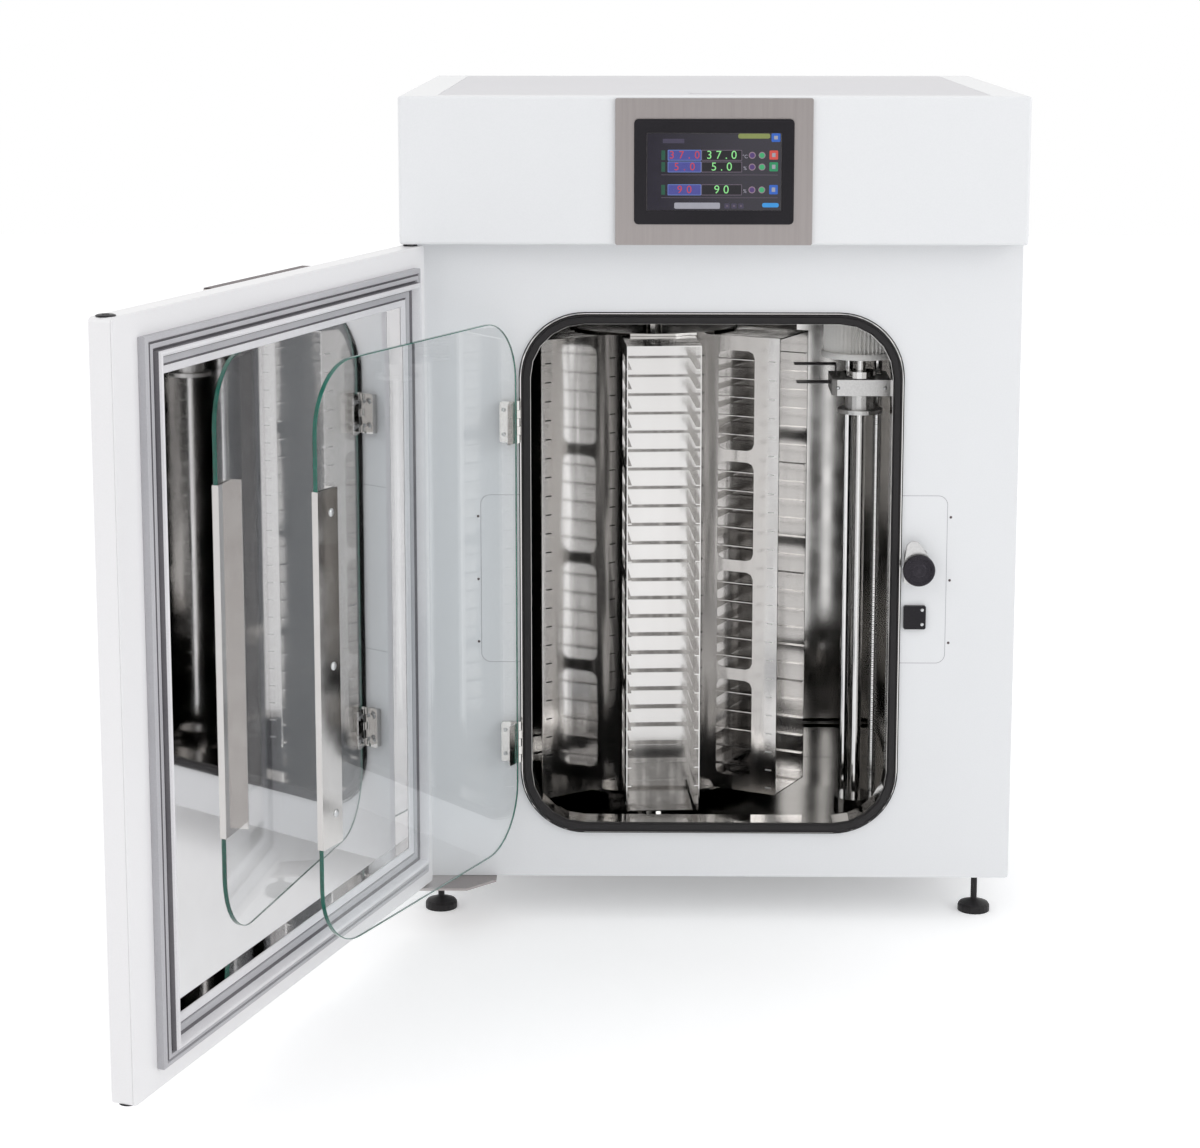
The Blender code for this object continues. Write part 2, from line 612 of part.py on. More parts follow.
def head():
    """The control head: its housing, lid, steel plate, bezel, screen and circuit board."""
    low = (-HALF_WIDTH, -HEAD_OVERHANG, BODY_TOP)
    high = (HALF_WIDTH, REAR_FACE, TOP)
    housing = box("head_housing", low, high, SKIN_RADIUS)
    cut(housing, box("head_space", [a + SHEET for a in low], [b - SHEET for b in high]))
    mouth_low = (-HALF_WIDTH + MOUTH_SIDE_INSET, MOUTH_FRONT)
    mouth_high = (HALF_WIDTH - MOUTH_SIDE_INSET, REAR_FACE - MOUTH_REAR_INSET)
    cut(housing, plate("head_mouth", [rounded(mouth_low, mouth_high, MOUTH_RADIUS, 3)],
                       TOP - 2 * SHEET, TOP + SHEET, "Z"))
    finish(housing, whole, WHITE)
    seam = grown(mouth_low, mouth_high, MOUTH_RADIUS, -HAIRLINE, 3)
    lid = plate("head_top_cover", [seam], TOP - SHEET, TOP, "Z")
    weld(lid, plate("cap", [rounded(CAP_LOW, CAP_HIGH, CAP_RADIUS, 4)], TOP - SHEET / 2, TOP + CAP_RISE, "Z"))
    finish(lid, whole, WHITE)
    front = -HEAD_OVERHANG - GAP
    plate_face = front - PLATE_SHEET
    half = PLATE_WIDTH / 2
    steel = rounded((-half, BODY_TOP + HAIRLINE), (half, TOP - SHEET), 0.4 * PLATE_SHEET, 1)
    finish(plate("display_plate", [steel], plate_face, front), whole, BRUSHED)
    half = BEZEL_WIDTH / 2
    rim_low = (-half, BEZEL_MIDDLE - BEZEL_HEIGHT / 2)
    rim_high = (half, BEZEL_MIDDLE + BEZEL_HEIGHT / 2)
    half = SCREEN_WIDTH / 2
    glass_low = (-half, BEZEL_MIDDLE - SCREEN_HEIGHT / 2)
    glass_high = (half, BEZEL_MIDDLE + SCREEN_HEIGHT / 2)
    bezel_back = plate_face - GAP
    finish(plate("display_bezel", [rounded(rim_low, rim_high, DOOR_RADIUS, 3),
                                   grown(glass_low, glass_high, 0.0, GAP)],
                 bezel_back - BEZEL_DEPTH, bezel_back), whole, BLACK)
    finish(plate("touch_screen", [rounded(glass_low, glass_high, 0.0)],
                 bezel_back - 2 * BEZEL_DEPTH / 3, bezel_back), whole, SCREEN)
    wall = -HEAD_OVERHANG + SHEET
    board_front = wall + GAP + STANDOFF
    half = BOARD_WIDTH / 2
    board_top = BOARD_BOTTOM + BOARD_HEIGHT
    board = box("controller_board", (-half, board_front, BOARD_BOTTOM),
                (half, board_front + BOARD_THICKNESS, board_top))
    sunk = -BOARD_THICKNESS / 3
    post = [(0.0, STANDOFF), (STANDOFF_RADIUS, STANDOFF), (STANDOFF_RADIUS, sunk), (0.0, sunk)]
    for x in (-half + BOARD_MARGIN, half - BOARD_MARGIN):
        for z in (BOARD_BOTTOM + BOARD_MARGIN, board_top - BOARD_MARGIN):
            weld(board, turned("standoff", post, (x, board_front, z), "Y", 8))
    wide, deep, high = POWER_PARTS
    corner = (-0.75 * wide, board_front + BOARD_THICKNESS / 2, BOARD_BOTTOM + 0.4 * high)
    weld(board, box("power_parts", corner, (0.25 * wide, board_front + deep, BOARD_BOTTOM + 1.4 * high)))
    finish(board, whole, BOARD)


def rear_fittings():
    """Gas inlet, mains inlet and the stopper of the access port on the rear panel."""
    face = REAR_FACE + GAP
    reach = INLET_LENGTH - GAP
    tube = 0.20 * INLET_LENGTH
    nut = 0.42 * INLET_LENGTH
    barb = [(0.0, reach), (0.8 * tube, reach), (1.25 * tube, reach - tube), (tube, reach - tube),
            (tube, nut), (nut, nut), (nut, 0.0), (0.0, 0.0)]
    inlet = turned("gas_inlet", [(r, -z) for r, z in reversed(barb)],
                   (INLET_PLACE[0], face, INLET_PLACE[1]), "Y", 16)
    finish(inlet, whole, STEEL)
    outline = rounded(SOCKET_LOW, SOCKET_HIGH, SOCKET_RADIUS, 2)
    socket = plate("power_inlet", [outline], face, face + SOCKET_DEPTH)
    well_low = [a + b for a, b in zip(SOCKET_LOW, SOCKET_RIM)]
    well_high = [a - b for a, b in zip(SOCKET_HIGH, SOCKET_RIM)]
    cut(socket, plate("socket", [rounded(well_low, well_high, 0.75 * SOCKET_RADIUS, 2)],
                      face + SOCKET_FLOOR, face + 2 * SOCKET_DEPTH))
    finish(socket, whole, BLACK)
    stopper = [(0.0, 0.0), (STOPPER_FACE_RADIUS, 0.0), (STOPPER_RADIUS, -STOPPER_ROUND),
               (STOPPER_RADIUS, -STOPPER_DEPTH), (0.0, -STOPPER_DEPTH)]
    finish(turned("access_port_stopper", stopper, (STOPPER_PLACE[0], face, STOPPER_PLACE[1]), "Y", 20),
           whole, SEAL)


def door_hardware():
    """What carries the outer door: the bracket with its pin below and the pin above."""
    top = FOOT_HEIGHT - GAP
    end = -HALF_WIDTH + BRACKET_LENGTH
    outline = [(-HALF_WIDTH, BRACKET_FRONT + BRACKET_CHAMFER), (-HALF_WIDTH + BRACKET_CHAMFER, BRACKET_FRONT),
               (end - BRACKET_SLANT, BRACKET_FRONT), (end, BRACKET_FRONT + BRACKET_SLANT),
               (end, BRACKET_BACK), (-HALF_WIDTH, BRACKET_BACK)]
    bracket = plate("hinge_bracket", [outline], top - BRACKET_SHEET, top, "Z")
    tip = DOOR_BOTTOM + BUSH_LENGTH - 0.002
    root = top - BRACKET_SHEET / 3
    pin = [(0.0, tip), (PIN_RADIUS - PIN_ROUND, tip), (PIN_RADIUS, tip - PIN_ROUND), (PIN_RADIUS, root),
           (0.0, root)]
    weld(bracket, turned("pin", pin, (DOOR_PIVOT_X, DOOR_PIVOT_Y, 0.0), steps=16))
    finish(bracket, whole, ALUMINIUM)
    tip = DOOR_TOP - BUSH_LENGTH + 0.0015
    pin = [(0.0, BODY_TOP - GAP), (PIN_RADIUS, BODY_TOP - GAP), (PIN_RADIUS, tip + PIN_ROUND),
           (PIN_RADIUS - PIN_ROUND, tip), (0.0, tip)]
    finish(turned("upper_hinge_pin", pin, (DOOR_PIVOT_X, DOOR_PIVOT_Y, 0.0), steps=16), whole, BLACK)


def seal_corners(inset=0.0):
    """Corners of the door gasket's outer edge, moved in by a distance."""
    low = (DOOR_LEFT + SEAL_INSET_HINGE + inset, DOOR_BOTTOM + SEAL_INSET_BOTTOM + inset)
    high = (DOOR_RIGHT - SEAL_INSET_FREE - inset, DOOR_TOP - SEAL_INSET_TOP - inset)
    return low, high


def door():
    """The outer door: skin, foam, inner frame, recessed panel, seal, band, bushes and foot plate."""
    low, high = (DOOR_LEFT, DOOR_BOTTOM), (DOOR_RIGHT, DOOR_TOP)
    rim = DOOR_INNER - THIN_SHEET - GAP
    shell = pan("outer_door_shell", rounded(low, high, DOOR_RADIUS, 3), rim, DOOR_OUTER, DOOR_SHEET)
    hole = BUSH_RADIUS + GAP
    for z in (DOOR_BOTTOM, DOOR_TOP):
        reach = 2 * DOOR_SHEET
        bore = [(0.0, reach), (hole, reach), (hole, -reach), (0.0, -reach)]
        cut(shell, turned("bore", bore, (DOOR_PIVOT_X, DOOR_PIVOT_Y, z), steps=16))
    finish(shell, outer_door, WHITE)
    panel_edge = seal_corners(SEAL_WIDTH)
    panel_radius = SEAL_RADIUS - SEAL_WIDTH
    finish(plate("outer_door_frame", [rounded(low, high, DOOR_RADIUS, 3),
                                      grown(*panel_edge, panel_radius, THIN_SHEET + GAP)],
                 DOOR_INNER - THIN_SHEET, DOOR_INNER), outer_door, WHITE)
    floor = DOOR_INNER - PANEL_RECESS
    finish(pan("outer_door_panel", grown(*panel_edge, panel_radius, THIN_SHEET),
               DOOR_INNER, floor - THIN_SHEET, THIN_SHEET), outer_door, STEEL)
    slack = 2 * DOOR_SHEET
    low = (DOOR_LEFT + FOAM_MARGIN, DOOR_OUTER + DOOR_SHEET + GAP, DOOR_BOTTOM + slack)
    high = (DOOR_RIGHT - FOAM_MARGIN, floor - THIN_SHEET - GAP, DOOR_TOP - slack)
    finish(box("outer_door_foam", low, high), outer_door, FOAM)
    foot = DOOR_INNER + GAP
    lip = DOOR_INNER + SEAL_LIP
    seal = [(0.0, foot), (0.0, lip), (SEAL_BEAD_LOW, lip), (SEAL_BEAD_LOW + 0.0015, lip - 0.0035),
            (SEAL_BEAD_LOW + 0.0045, lip - 0.0035), (SEAL_BEAD_LOW + 0.0055, SEAL_CREST),
            (SEAL_BEAD_HIGH - 0.0015, SEAL_CREST), (SEAL_BEAD_HIGH, DOOR_INNER + 0.0025),
            (SEAL_WIDTH, DOOR_INNER + 0.0025), (SEAL_WIDTH, foot)]
    finish(profiled_ring("outer_door_gasket", *seal_corners(), SEAL_RADIUS, seal), outer_door, SEAL)
    half = PLATE_WIDTH / 2
    back = DOOR_OUTER - GAP
    band = rounded((-half, DOOR_BOTTOM + HAIRLINE), (half, DOOR_TOP - HAIRLINE), SHEET, 2)
    finish(pan("outer_door_band", band, back, back - BAND_DEPTH, THIN_SHEET), outer_door, BRUSHED)
    bore = PIN_RADIUS + PIN_CLEARANCE
    top = DOOR_TOP + GAP
    rim = top + THIN_SHEET - GAP
    end = DOOR_TOP - BUSH_LENGTH + 0.002
    upper = [(BUSH_RIM_RADIUS, rim), (BUSH_RIM_RADIUS, top), (BUSH_RADIUS, top), (BUSH_RADIUS, end),
             (bore, end), (bore, rim)]
    place = (DOOR_PIVOT_X, DOOR_PIVOT_Y, 0.0)
    finish(turned("upper_hinge_bush", upper, place, steps=20), outer_door, BLACK)
    end = DOOR_BOTTOM + BUSH_LENGTH
    lower = [(BUSH_RADIUS, end), (BUSH_RADIUS, DOOR_BOTTOM), (bore, DOOR_BOTTOM), (bore, end)]
    finish(turned("lower_hinge_bush", lower, place, steps=20), outer_door, BLACK)
    near = DOOR_LEFT + FOOT_PLATE_INSET
    far = near + FOOT_PLATE_LENGTH
    strip = rounded((near, DOOR_OUTER + SHEET), (far, DOOR_INNER - SHEET), SKIN_RADIUS, 2)
    finish(plate("door_foot_plate", [strip, circle(DOOR_PIVOT_X, DOOR_PIVOT_Y, bore)],
                 FOOT_HEIGHT, DOOR_BOTTOM - GAP, "Z"), outer_door, IVORY)


def knuckle(name, low, high, side):
    """One rolled knuckle with the root of its leaf, pointing to the free side (+1) or the wall (-1)."""
    inner = KNUCKLE_RADIUS - LEAF_SHEET
    start = math.degrees(-math.asin(inner / KNUCKLE_RADIUS))
    root = 1.5 * KNUCKLE_RADIUS
    outline = [(root, -KNUCKLE_RADIUS), (root, -inner)]
    outline += arc(0, 0, KNUCKLE_RADIUS, start, 270, 7)
    hole = circle(0, 0, KNUCKLE_BORE, 6)
    loops = []
    for loop in (outline, hole):
        loops.append([(GLASS_HINGE_X + side * u, GLASS_HINGE_Y + side * v) for u, v in loop])
    return plate(name, loops, low, high, "Z")


def leaf(name, middle, side):
    """One hinge leaf with its knuckles: three on the wall side, two on the glass side."""
    bottom = middle - KNUCKLE_COUNT * KNUCKLE_PITCH / 2
    plate_y = GLASS_HINGE_Y - side * KNUCKLE_RADIUS
    ends = sorted((plate_y, plate_y + side * LEAF_SHEET))
    near = GLASS_HINGE_X + side * 1.2 * KNUCKLE_RADIUS
    far = GLASS_HINGE_X + side * LEAF_WIDTH
    xs = sorted((near, far))
    top = bottom + KNUCKLE_COUNT * KNUCKLE_PITCH
    made = plate(name, [rounded((xs[0], bottom), (xs[1], top), SKIN_RADIUS, 2)], *ends)
    for k in range(0 if side < 0 else 1, KNUCKLE_COUNT, 2):
        low = bottom + k * KNUCKLE_PITCH + GAP / 2
        weld(made, knuckle("knuckle", low, low + KNUCKLE_PITCH - GAP, side))
    return made


def glass():
    """The inner glass door with its folded handle and its two leaf hinges."""
    pane = rounded((GLASS_LEFT, GLASS_BOTTOM), (GLASS_RIGHT, GLASS_TOP), GLASS_RADIUS, 8)
    finish(plate("glass_pane", [pane], GLASS_FRONT, GLASS_BACK), glass_door, GLASS)
    edge = GLASS_RIGHT + GAP
    out = edge + HANDLE_SHEET
    rear = GLASS_BACK + GAP
    front = GLASS_FRONT - GAP
    tail = out - HANDLE_WIDTH
    outline = [(tail, rear), (edge, rear), (edge, front), (tail, front),
               (tail, front - HANDLE_SHEET - GRIP_DEPTH),
               (tail + HANDLE_SHEET, front - HANDLE_SHEET - GRIP_DEPTH),
               (tail + HANDLE_SHEET, front - HANDLE_SHEET), (out, front - HANDLE_SHEET),
               (out, rear + HANDLE_SHEET), (tail, rear + HANDLE_SHEET)]
    finish(plate("glass_handle", [outline], HANDLE_BOTTOM, HANDLE_TOP, "Z"), glass_door, STEEL)
    for place, middle in HINGE_HEIGHTS.items():
        finish(leaf(f"glass_hinge_leaf_{place}", middle, 1), glass_door, STEEL)
        fixed = leaf(f"glass_hinge_mount_{place}", middle, -1)
        half = KNUCKLE_COUNT * KNUCKLE_PITCH / 2
        back_of_leaf = GLASS_HINGE_Y + KNUCKLE_RADIUS
        low = (GLASS_HINGE_X - LEAF_WIDTH + 0.001, back_of_leaf - LEAF_SHEET / 2, middle - half + 0.001)
        weld(fixed, box("spacer", low, (GLASS_HINGE_X - 1.5 * KNUCKLE_RADIUS, -GAP, middle + half - 0.001)))
        reach = half + LEAF_SHEET
        head = KNUCKLE_RADIUS - GAP
        seat = half - 2 * GAP
        pin = [(0.0, reach), (head, reach), (head, seat), (HINGE_PIN_RADIUS, seat),
               (HINGE_PIN_RADIUS, -reach), (0.0, -reach)]
        weld(fixed, turned("pin", pin, (GLASS_HINGE_X, GLASS_HINGE_Y, middle), steps=10))
        finish(fixed, whole, STEEL)


def latch_parts():
    """The cam latch that holds the glass door, and the black door switch under it."""
    foot = -GAP
    front = CAM_BACK + GAP
    low = (LATCH_BASE_LEFT, LATCH_Z - LATCH_BASE_HALF)
    high = (LATCH_BASE_RIGHT, LATCH_Z + LATCH_BASE_HALF)
    base = plate("latch_base", [rounded(low, high, SKIN_RADIUS, 2)], -LATCH_BASE_DEPTH, foot)
    middle = (LATCH_X, -LATCH_BASE_DEPTH / 2, LATCH_Z)
    height = front - middle[1]
    boss = [(0.0, -height), (LATCH_BOSS_RADIUS, -height), (LATCH_BOSS_RADIUS, 0.0), (0.0, 0.0)]
    weld(base, turned("boss", boss, middle, "Y", 20))
    bore = LATCH_SHAFT_RADIUS + GAP
    reach = -2 * height
    cut(base, turned("bore", [(0.0, reach), (bore, reach), (bore, 0.0), (0.0, 0.0)], middle, "Y", 16))
    finish(base, whole, ALUMINIUM)
    tip_x, tip_z = CAM_TIP
    reach = math.hypot(tip_x, tip_z)
    heading = math.degrees(math.atan2(tip_z, tip_x))
    spread = math.degrees(math.acos((CAM_RADIUS - CAM_TIP_RADIUS) / reach))
    outline = arc(LATCH_X + tip_x, LATCH_Z + tip_z, CAM_TIP_RADIUS, heading - spread, heading + spread, 8)
    outline += arc(LATCH_X, LATCH_Z, CAM_RADIUS, heading + spread, heading + 360 - spread, 14)
    finish(plate("latch_cam", [outline, circle(LATCH_X, LATCH_Z, bore)],
                 CAM_BACK - CAM_THICKNESS, CAM_BACK), latch, ALUMINIUM)
    knob_back = CAM_BACK - CAM_THICKNESS - GAP
    shaft = knob_back + CAM_THICKNESS
    low = KNOB_DEPTH - 0.001
    profile = [(0.0, KNOB_DEPTH), (0.41 * KNOB_RADIUS, KNOB_DEPTH), (0.46 * KNOB_RADIUS, low),
               (0.72 * KNOB_RADIUS, low), (0.77 * KNOB_RADIUS, KNOB_DEPTH - 0.0002),
               (0.92 * KNOB_RADIUS, KNOB_DEPTH - 0.0008), (KNOB_RADIUS, KNOB_DEPTH - 0.0022),
               (KNOB_RADIUS, 0.0), (LATCH_SHAFT_RADIUS, 0.0),
               (LATCH_SHAFT_RADIUS, shaft), (0.0, shaft)]
    finish(turned("latch_knob", profile, (LATCH_X, knob_back, LATCH_Z), "Y", 20), latch, BLACK)
    finish(plate("door_switch", [rounded(SWITCH_LOW, SWITCH_HIGH, DOOR_SHEET, 1)], -SWITCH_DEPTH, foot),
           whole, BLACK)


def ledges(wall, face):
    """The ledges of one hotel in one mesh: a strip each side of every slot, let into the walls and the back."""
    bm = bmesh.new()
    inner = wall - LEDGE_REACH
    outer = wall + HOTEL_WALL / 2
    front = face + HOTEL_WALL
    back = -HOTEL_INNER - HOTEL_WALL / 2
    start = (HOTEL_HEIGHT - SLOT_COUNT * SLOT_PITCH) / 2 + LEDGE_THICKNESS
    size = Matrix.Diagonal((outer - inner, back - front, LEDGE_THICKNESS, 1.0))
    for k in range(SLOT_COUNT):
        for side in (-1, 1):
            middle = (side * (outer + inner) / 2, (front + back) / 2, start + k * SLOT_PITCH)
            bmesh.ops.create_cube(bm, size=1.0, matrix=Matrix.Translation(middle) @ size)
    return mesh_object("ledges", bm)


def hotel(name, turn):
    """One plate hotel: a folded rack with ledges, open at its outer face, with windows in one wall."""
    half = HOTEL_WIDTH / 2
    wall = half - HOTEL_WALL
    face = -HOTEL_INNER - HOTEL_DEPTH
    top = HOTEL_HEIGHT - HOTEL_WALL
    made = plate(name, [rounded((-half, 0.0), (half, HOTEL_HEIGHT), 0.0)], face, -HOTEL_INNER)
    cut(made, plate("space", [rounded((-wall, HOTEL_WALL), (wall, top), 0.0)],
                    face - SHEET, -HOTEL_INNER - HOTEL_WALL))
    middle = face + HOTEL_DEPTH / 2
    first = HOTEL_HEIGHT / 2 - (WINDOW_COUNT - 1) * WINDOW_PITCH / 2
    for k in range(WINDOW_COUNT):
        z = first + k * WINDOW_PITCH
        outline = rounded((middle - WINDOW_WIDTH / 2, z - WINDOW_HEIGHT / 2),
                          (middle + WINDOW_WIDTH / 2, z + WINDOW_HEIGHT / 2), WINDOW_RADIUS, 2)
        cut(made, plate("window", [outline], -half - SHEET, -wall + SHEET, "X"))
    weld(made, ledges(wall, face))
    made.data.transform(Matrix.Translation((CAROUSEL_X, CAROUSEL_Y, HOTEL_BOTTOM))
                        @ Matrix.Rotation(turn, 4, "Z"))
    return made


def carousel_parts():
    """The turning rack of plate hotels and the fixed pieces that carry it."""
    centre = (CAROUSEL_X, CAROUSEL_Y, 0.0)
    floor = CHAMBER_BOTTOM + GAP
    pedestal = [(0.0, HUB_TOP), (HUB_RADIUS - HUB_EDGE, HUB_TOP), (HUB_RADIUS, HUB_TOP - HUB_EDGE),
                (HUB_RADIUS, floor), (0.0, floor)]
    finish(turned("carousel_pedestal", pedestal, centre, steps=28), whole, STEEL)
    under = HOTEL_BOTTOM - GAP
    disc = [(0.0, under), (DISC_RADIUS, under), (DISC_RADIUS, under - DISC_THICKNESS),
            (DISC_BOSS_RADIUS, under - DISC_THICKNESS), (0.8 * DISC_BOSS_RADIUS, HUB_TOP + GAP),
            (0.0, HUB_TOP + GAP)]
    finish(turned("carousel_disc", disc, centre, steps=28), carousel, STEEL)
    over = HOTEL_BOTTOM + HOTEL_HEIGHT + GAP
    cover = over + TOP_PLATE_SHEET
    column = [(0.0, COLUMN_TOP), (COLUMN_RADIUS, COLUMN_TOP), (COLUMN_RADIUS, cover),
              (TOP_PLATE_RADIUS, cover), (TOP_PLATE_RADIUS, over), (COLUMN_RADIUS, over),
              (COLUMN_RADIUS, HOTEL_BOTTOM), (0.0, HOTEL_BOTTOM)]
    finish(turned("carousel_column", column, centre, steps=24), carousel, STEEL)
    bore = COLUMN_RADIUS + GAP
    ceiling = CHAMBER_TOP - GAP
    under = CHAMBER_TOP - BEARING_DEPTH
    bearing = [(BEARING_RADIUS, ceiling), (BEARING_RADIUS, under), (bore, under), (bore, ceiling)]
    finish(turned("carousel_top_bearing", bearing, centre, steps=24), whole, ALUMINIUM)
    first = hotel("plate_hotel_1", CAROUSEL_PHASE)
    turn = 2 * math.pi / HOTEL_COUNT
    place = Matrix.Translation(centre)
    for k in range(1, HOTEL_COUNT):
        mesh = first.data.copy()
        mesh.transform(place @ Matrix.Rotation(k * turn, 4, "Z") @ place.inverted())
        copy = bpy.data.objects.new(f"plate_hotel_{k + 1}", mesh)
        parts.objects.link(copy)
        finish(copy, carousel, STEEL)
    finish(first, carousel, STEEL)


def lift_parts():
    """The plate lift: fixed mast, rear rod and screw, with the carriage, its finger and its blade."""
    floor = CHAMBER_BOTTOM + GAP
    collar_low = BLOCK_HIGH[2] + 4 * GAP
    collar_high = collar_low + TOP_COLLAR
    neck = BASE_COLLAR_BOTTOM - SHEET
    mast = [(0.0, MAST_TOP), (MAST_RADIUS, MAST_TOP), (MAST_RADIUS, collar_high),
            (TOP_COLLAR_RADIUS, collar_high), (TOP_COLLAR_RADIUS, collar_low),
            (MAST_RADIUS, collar_low), (MAST_RADIUS, BASE_COLLAR_TOP), (BASE_COLLAR_RADIUS, BASE_COLLAR_TOP),
            (BASE_COLLAR_RADIUS, BASE_COLLAR_BOTTOM), (BASE_NECK_RADIUS, neck), (BASE_NECK_RADIUS, floor),
            (0.0, floor)]
    finish(turned("lift_mast", mast, (MAST_X, MAST_Y, 0.0), steps=20), whole, STEEL)
    rod = [(0.0, MAST_TOP), (REAR_ROD_RADIUS, MAST_TOP), (REAR_ROD_RADIUS, floor), (0.0, floor)]
    finish(turned("lift_rear_rod", rod, (*REAR_ROD, 0.0), steps=16), whole, STEEL)
    rod = [(0.0, MAST_TOP - GAP), (SCREW_RADIUS, MAST_TOP - GAP), (SCREW_RADIUS, floor), (0.0, floor)]
    finish(turned("lift_screw", rod, (*SCREW, 0.0), steps=12), screw_axis, STEEL)
    (x0, y0, z0), (x1, y1, z1) = BLOCK_LOW, BLOCK_HIGH
    outline = [(x0 + BLOCK_CHAMFER, y0), (x1, y0), (x1, y1), (x0, y1), (x0, y0 + BLOCK_CHAMFER)]
    holes = [circle(MAST_X, MAST_Y, MAST_RADIUS + GAP), circle(*REAR_ROD, REAR_ROD_RADIUS + GAP),
             circle(*SCREW, SCREW_RADIUS + GAP, 12)]
    block = plate("lift_carriage", [outline, *holes], z0, z1, "Z")
    slot = BLADE_THICKNESS / 2 + GAP
    cut(block, box("blade_slot", (x0 - BLOCK_CHAMFER, BLADE_LOW[1] - GAP, BLADE_Z - slot),
                   (BLADE_HIGH[0] + BLADE_STROKE + 0.001, BLADE_HIGH[1] + GAP, BLADE_Z + slot)))
    finish(block, carriage, ALUMINIUM)
    top = z0 - GAP
    bore = MAST_RADIUS + GAP
    flange = NUT_BOTTOM + NUT_FLANGE
    nut = [(NUT_NECK_RADIUS, top), (NUT_NECK_RADIUS, flange), (NUT_FLANGE_RADIUS, flange),
           (NUT_FLANGE_RADIUS, NUT_BOTTOM), (bore, NUT_BOTTOM), (bore, top)]
    finish(turned("carriage_bushing", nut, (MAST_X, MAST_Y, 0.0), steps=20), carriage, STEEL)
    half = FINGER_SHEET / 2
    riser = x0 + FINGER_RISER_INSET
    tip = BLADE_LOW[0] - FINGER_OVERHANG
    finger = [(tip, FINGER_Z - half), (riser, FINGER_Z - half), (riser, z1 + GAP),
              (riser + FINGER_SHEET, z1 + GAP), (riser + FINGER_SHEET, FINGER_Z + half),
              (tip, FINGER_Z + half)]
    finish(plate("hold_down_finger", [finger], BLADE_LOW[1], BLADE_HIGH[1]), carriage, BLACK)
    finish(plate("transfer_blade", [rounded(BLADE_LOW, BLADE_HIGH, SKIN_RADIUS, 2)],
                 BLADE_Z - BLADE_THICKNESS / 2, BLADE_Z + BLADE_THICKNESS / 2, "Z"), blade_slide, BLACK)
    ceiling = CHAMBER_TOP - GAP
    crown = ceiling - FILTER_CROWN
    lip = FILTER_BOTTOM + FILTER_LIP
    cartridge = [(0.0, ceiling), (FILTER_CROWN_RADIUS, ceiling), (FILTER_CROWN_RADIUS, crown),
                 (FILTER_RADIUS, crown - 0.001), (FILTER_RADIUS, lip + 0.001), (FILTER_LIP_RADIUS, lip),
                 (FILTER_LIP_RADIUS, FILTER_BOTTOM), (0.0, FILTER_BOTTOM)]
    finish(turned("air_filter", cartridge, (MAST_X, MAST_Y + 0.015, 0.0), steps=24), whole, PAPER)
    half = PAN_WIDTH / 2
    back = CHAMBER_BACK - PAN_CLEARANCE
    tray = pan("water_pan", rounded((-half, back - PAN_DEPTH), (half, back), PAN_RADIUS, 2),
               0.0, PAN_HEIGHT, THIN_SHEET)
    tray.data.transform(Matrix.Translation((0, 0, CHAMBER_BOTTOM + GAP + PAN_HEIGHT))
                        @ Matrix.Rotation(math.radians(-90), 4, "X"))
    finish(tray, whole, STEEL)


cabinet()
opening()
feet()
head()
rear_fittings()
door_hardware()
door()
glass()
latch_parts()
carousel_parts()
lift_parts()
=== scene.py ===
"""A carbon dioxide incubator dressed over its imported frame, standing with both of its doors open.

Pieces are drawn in the cabinet's own coordinates with the doors shut: x from the cabinet's middle,
y from the body's front face towards the back, z from the floor. Each is then moved to its place at rest.
"""
import math

import bmesh
import bpy
from mathutils import Matrix, Vector


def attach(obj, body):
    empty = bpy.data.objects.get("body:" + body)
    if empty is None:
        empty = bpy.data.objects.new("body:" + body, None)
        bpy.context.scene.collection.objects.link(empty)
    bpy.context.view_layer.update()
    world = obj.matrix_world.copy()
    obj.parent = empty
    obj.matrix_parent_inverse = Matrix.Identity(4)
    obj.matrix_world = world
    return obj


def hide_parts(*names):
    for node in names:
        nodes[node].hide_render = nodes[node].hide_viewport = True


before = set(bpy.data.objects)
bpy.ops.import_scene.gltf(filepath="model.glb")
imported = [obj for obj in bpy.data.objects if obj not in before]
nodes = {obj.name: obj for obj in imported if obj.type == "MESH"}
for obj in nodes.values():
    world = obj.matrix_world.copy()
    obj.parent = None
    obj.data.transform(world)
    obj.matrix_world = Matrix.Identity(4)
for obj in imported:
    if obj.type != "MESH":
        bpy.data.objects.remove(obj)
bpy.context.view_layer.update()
scene = bpy.context.scene
scene.view_settings.view_transform = "Standard"


# The studio: a camera at chest height a little left of the cabinet's middle, a pale floor and a white
# surround, with one large soft lamp each side and a wide one above.
CAMERA_PLACE = (0.0353, -3.2348, 1.1684)
CAMERA_DROP = 9.474
CAMERA_TURN = 0.9
camera = bpy.data.objects.new("camera", bpy.data.cameras.new("camera"))
scene.collection.objects.link(camera)
camera.location = CAMERA_PLACE
camera.rotation_euler = (math.radians(90 - CAMERA_DROP), 0.0, math.radians(CAMERA_TURN))
camera.data.lens = 83.03
camera.data.sensor_width = 36.0
camera.data.shift_y = -0.12
camera.data.clip_end = 60.0
scene.camera = camera


def lamp(name, place, aim, size, power, colour):
    """A soft square lamp that faces a point."""
    light = bpy.data.lights.new(name, "AREA")
    light.size = size
    light.energy = power
    light.color = colour
    made = bpy.data.objects.new(name, light)
    made.location = place
    made.rotation_euler = (Vector(aim) - Vector(place)).to_track_quat("-Z", "Y").to_euler()
    scene.collection.objects.link(made)


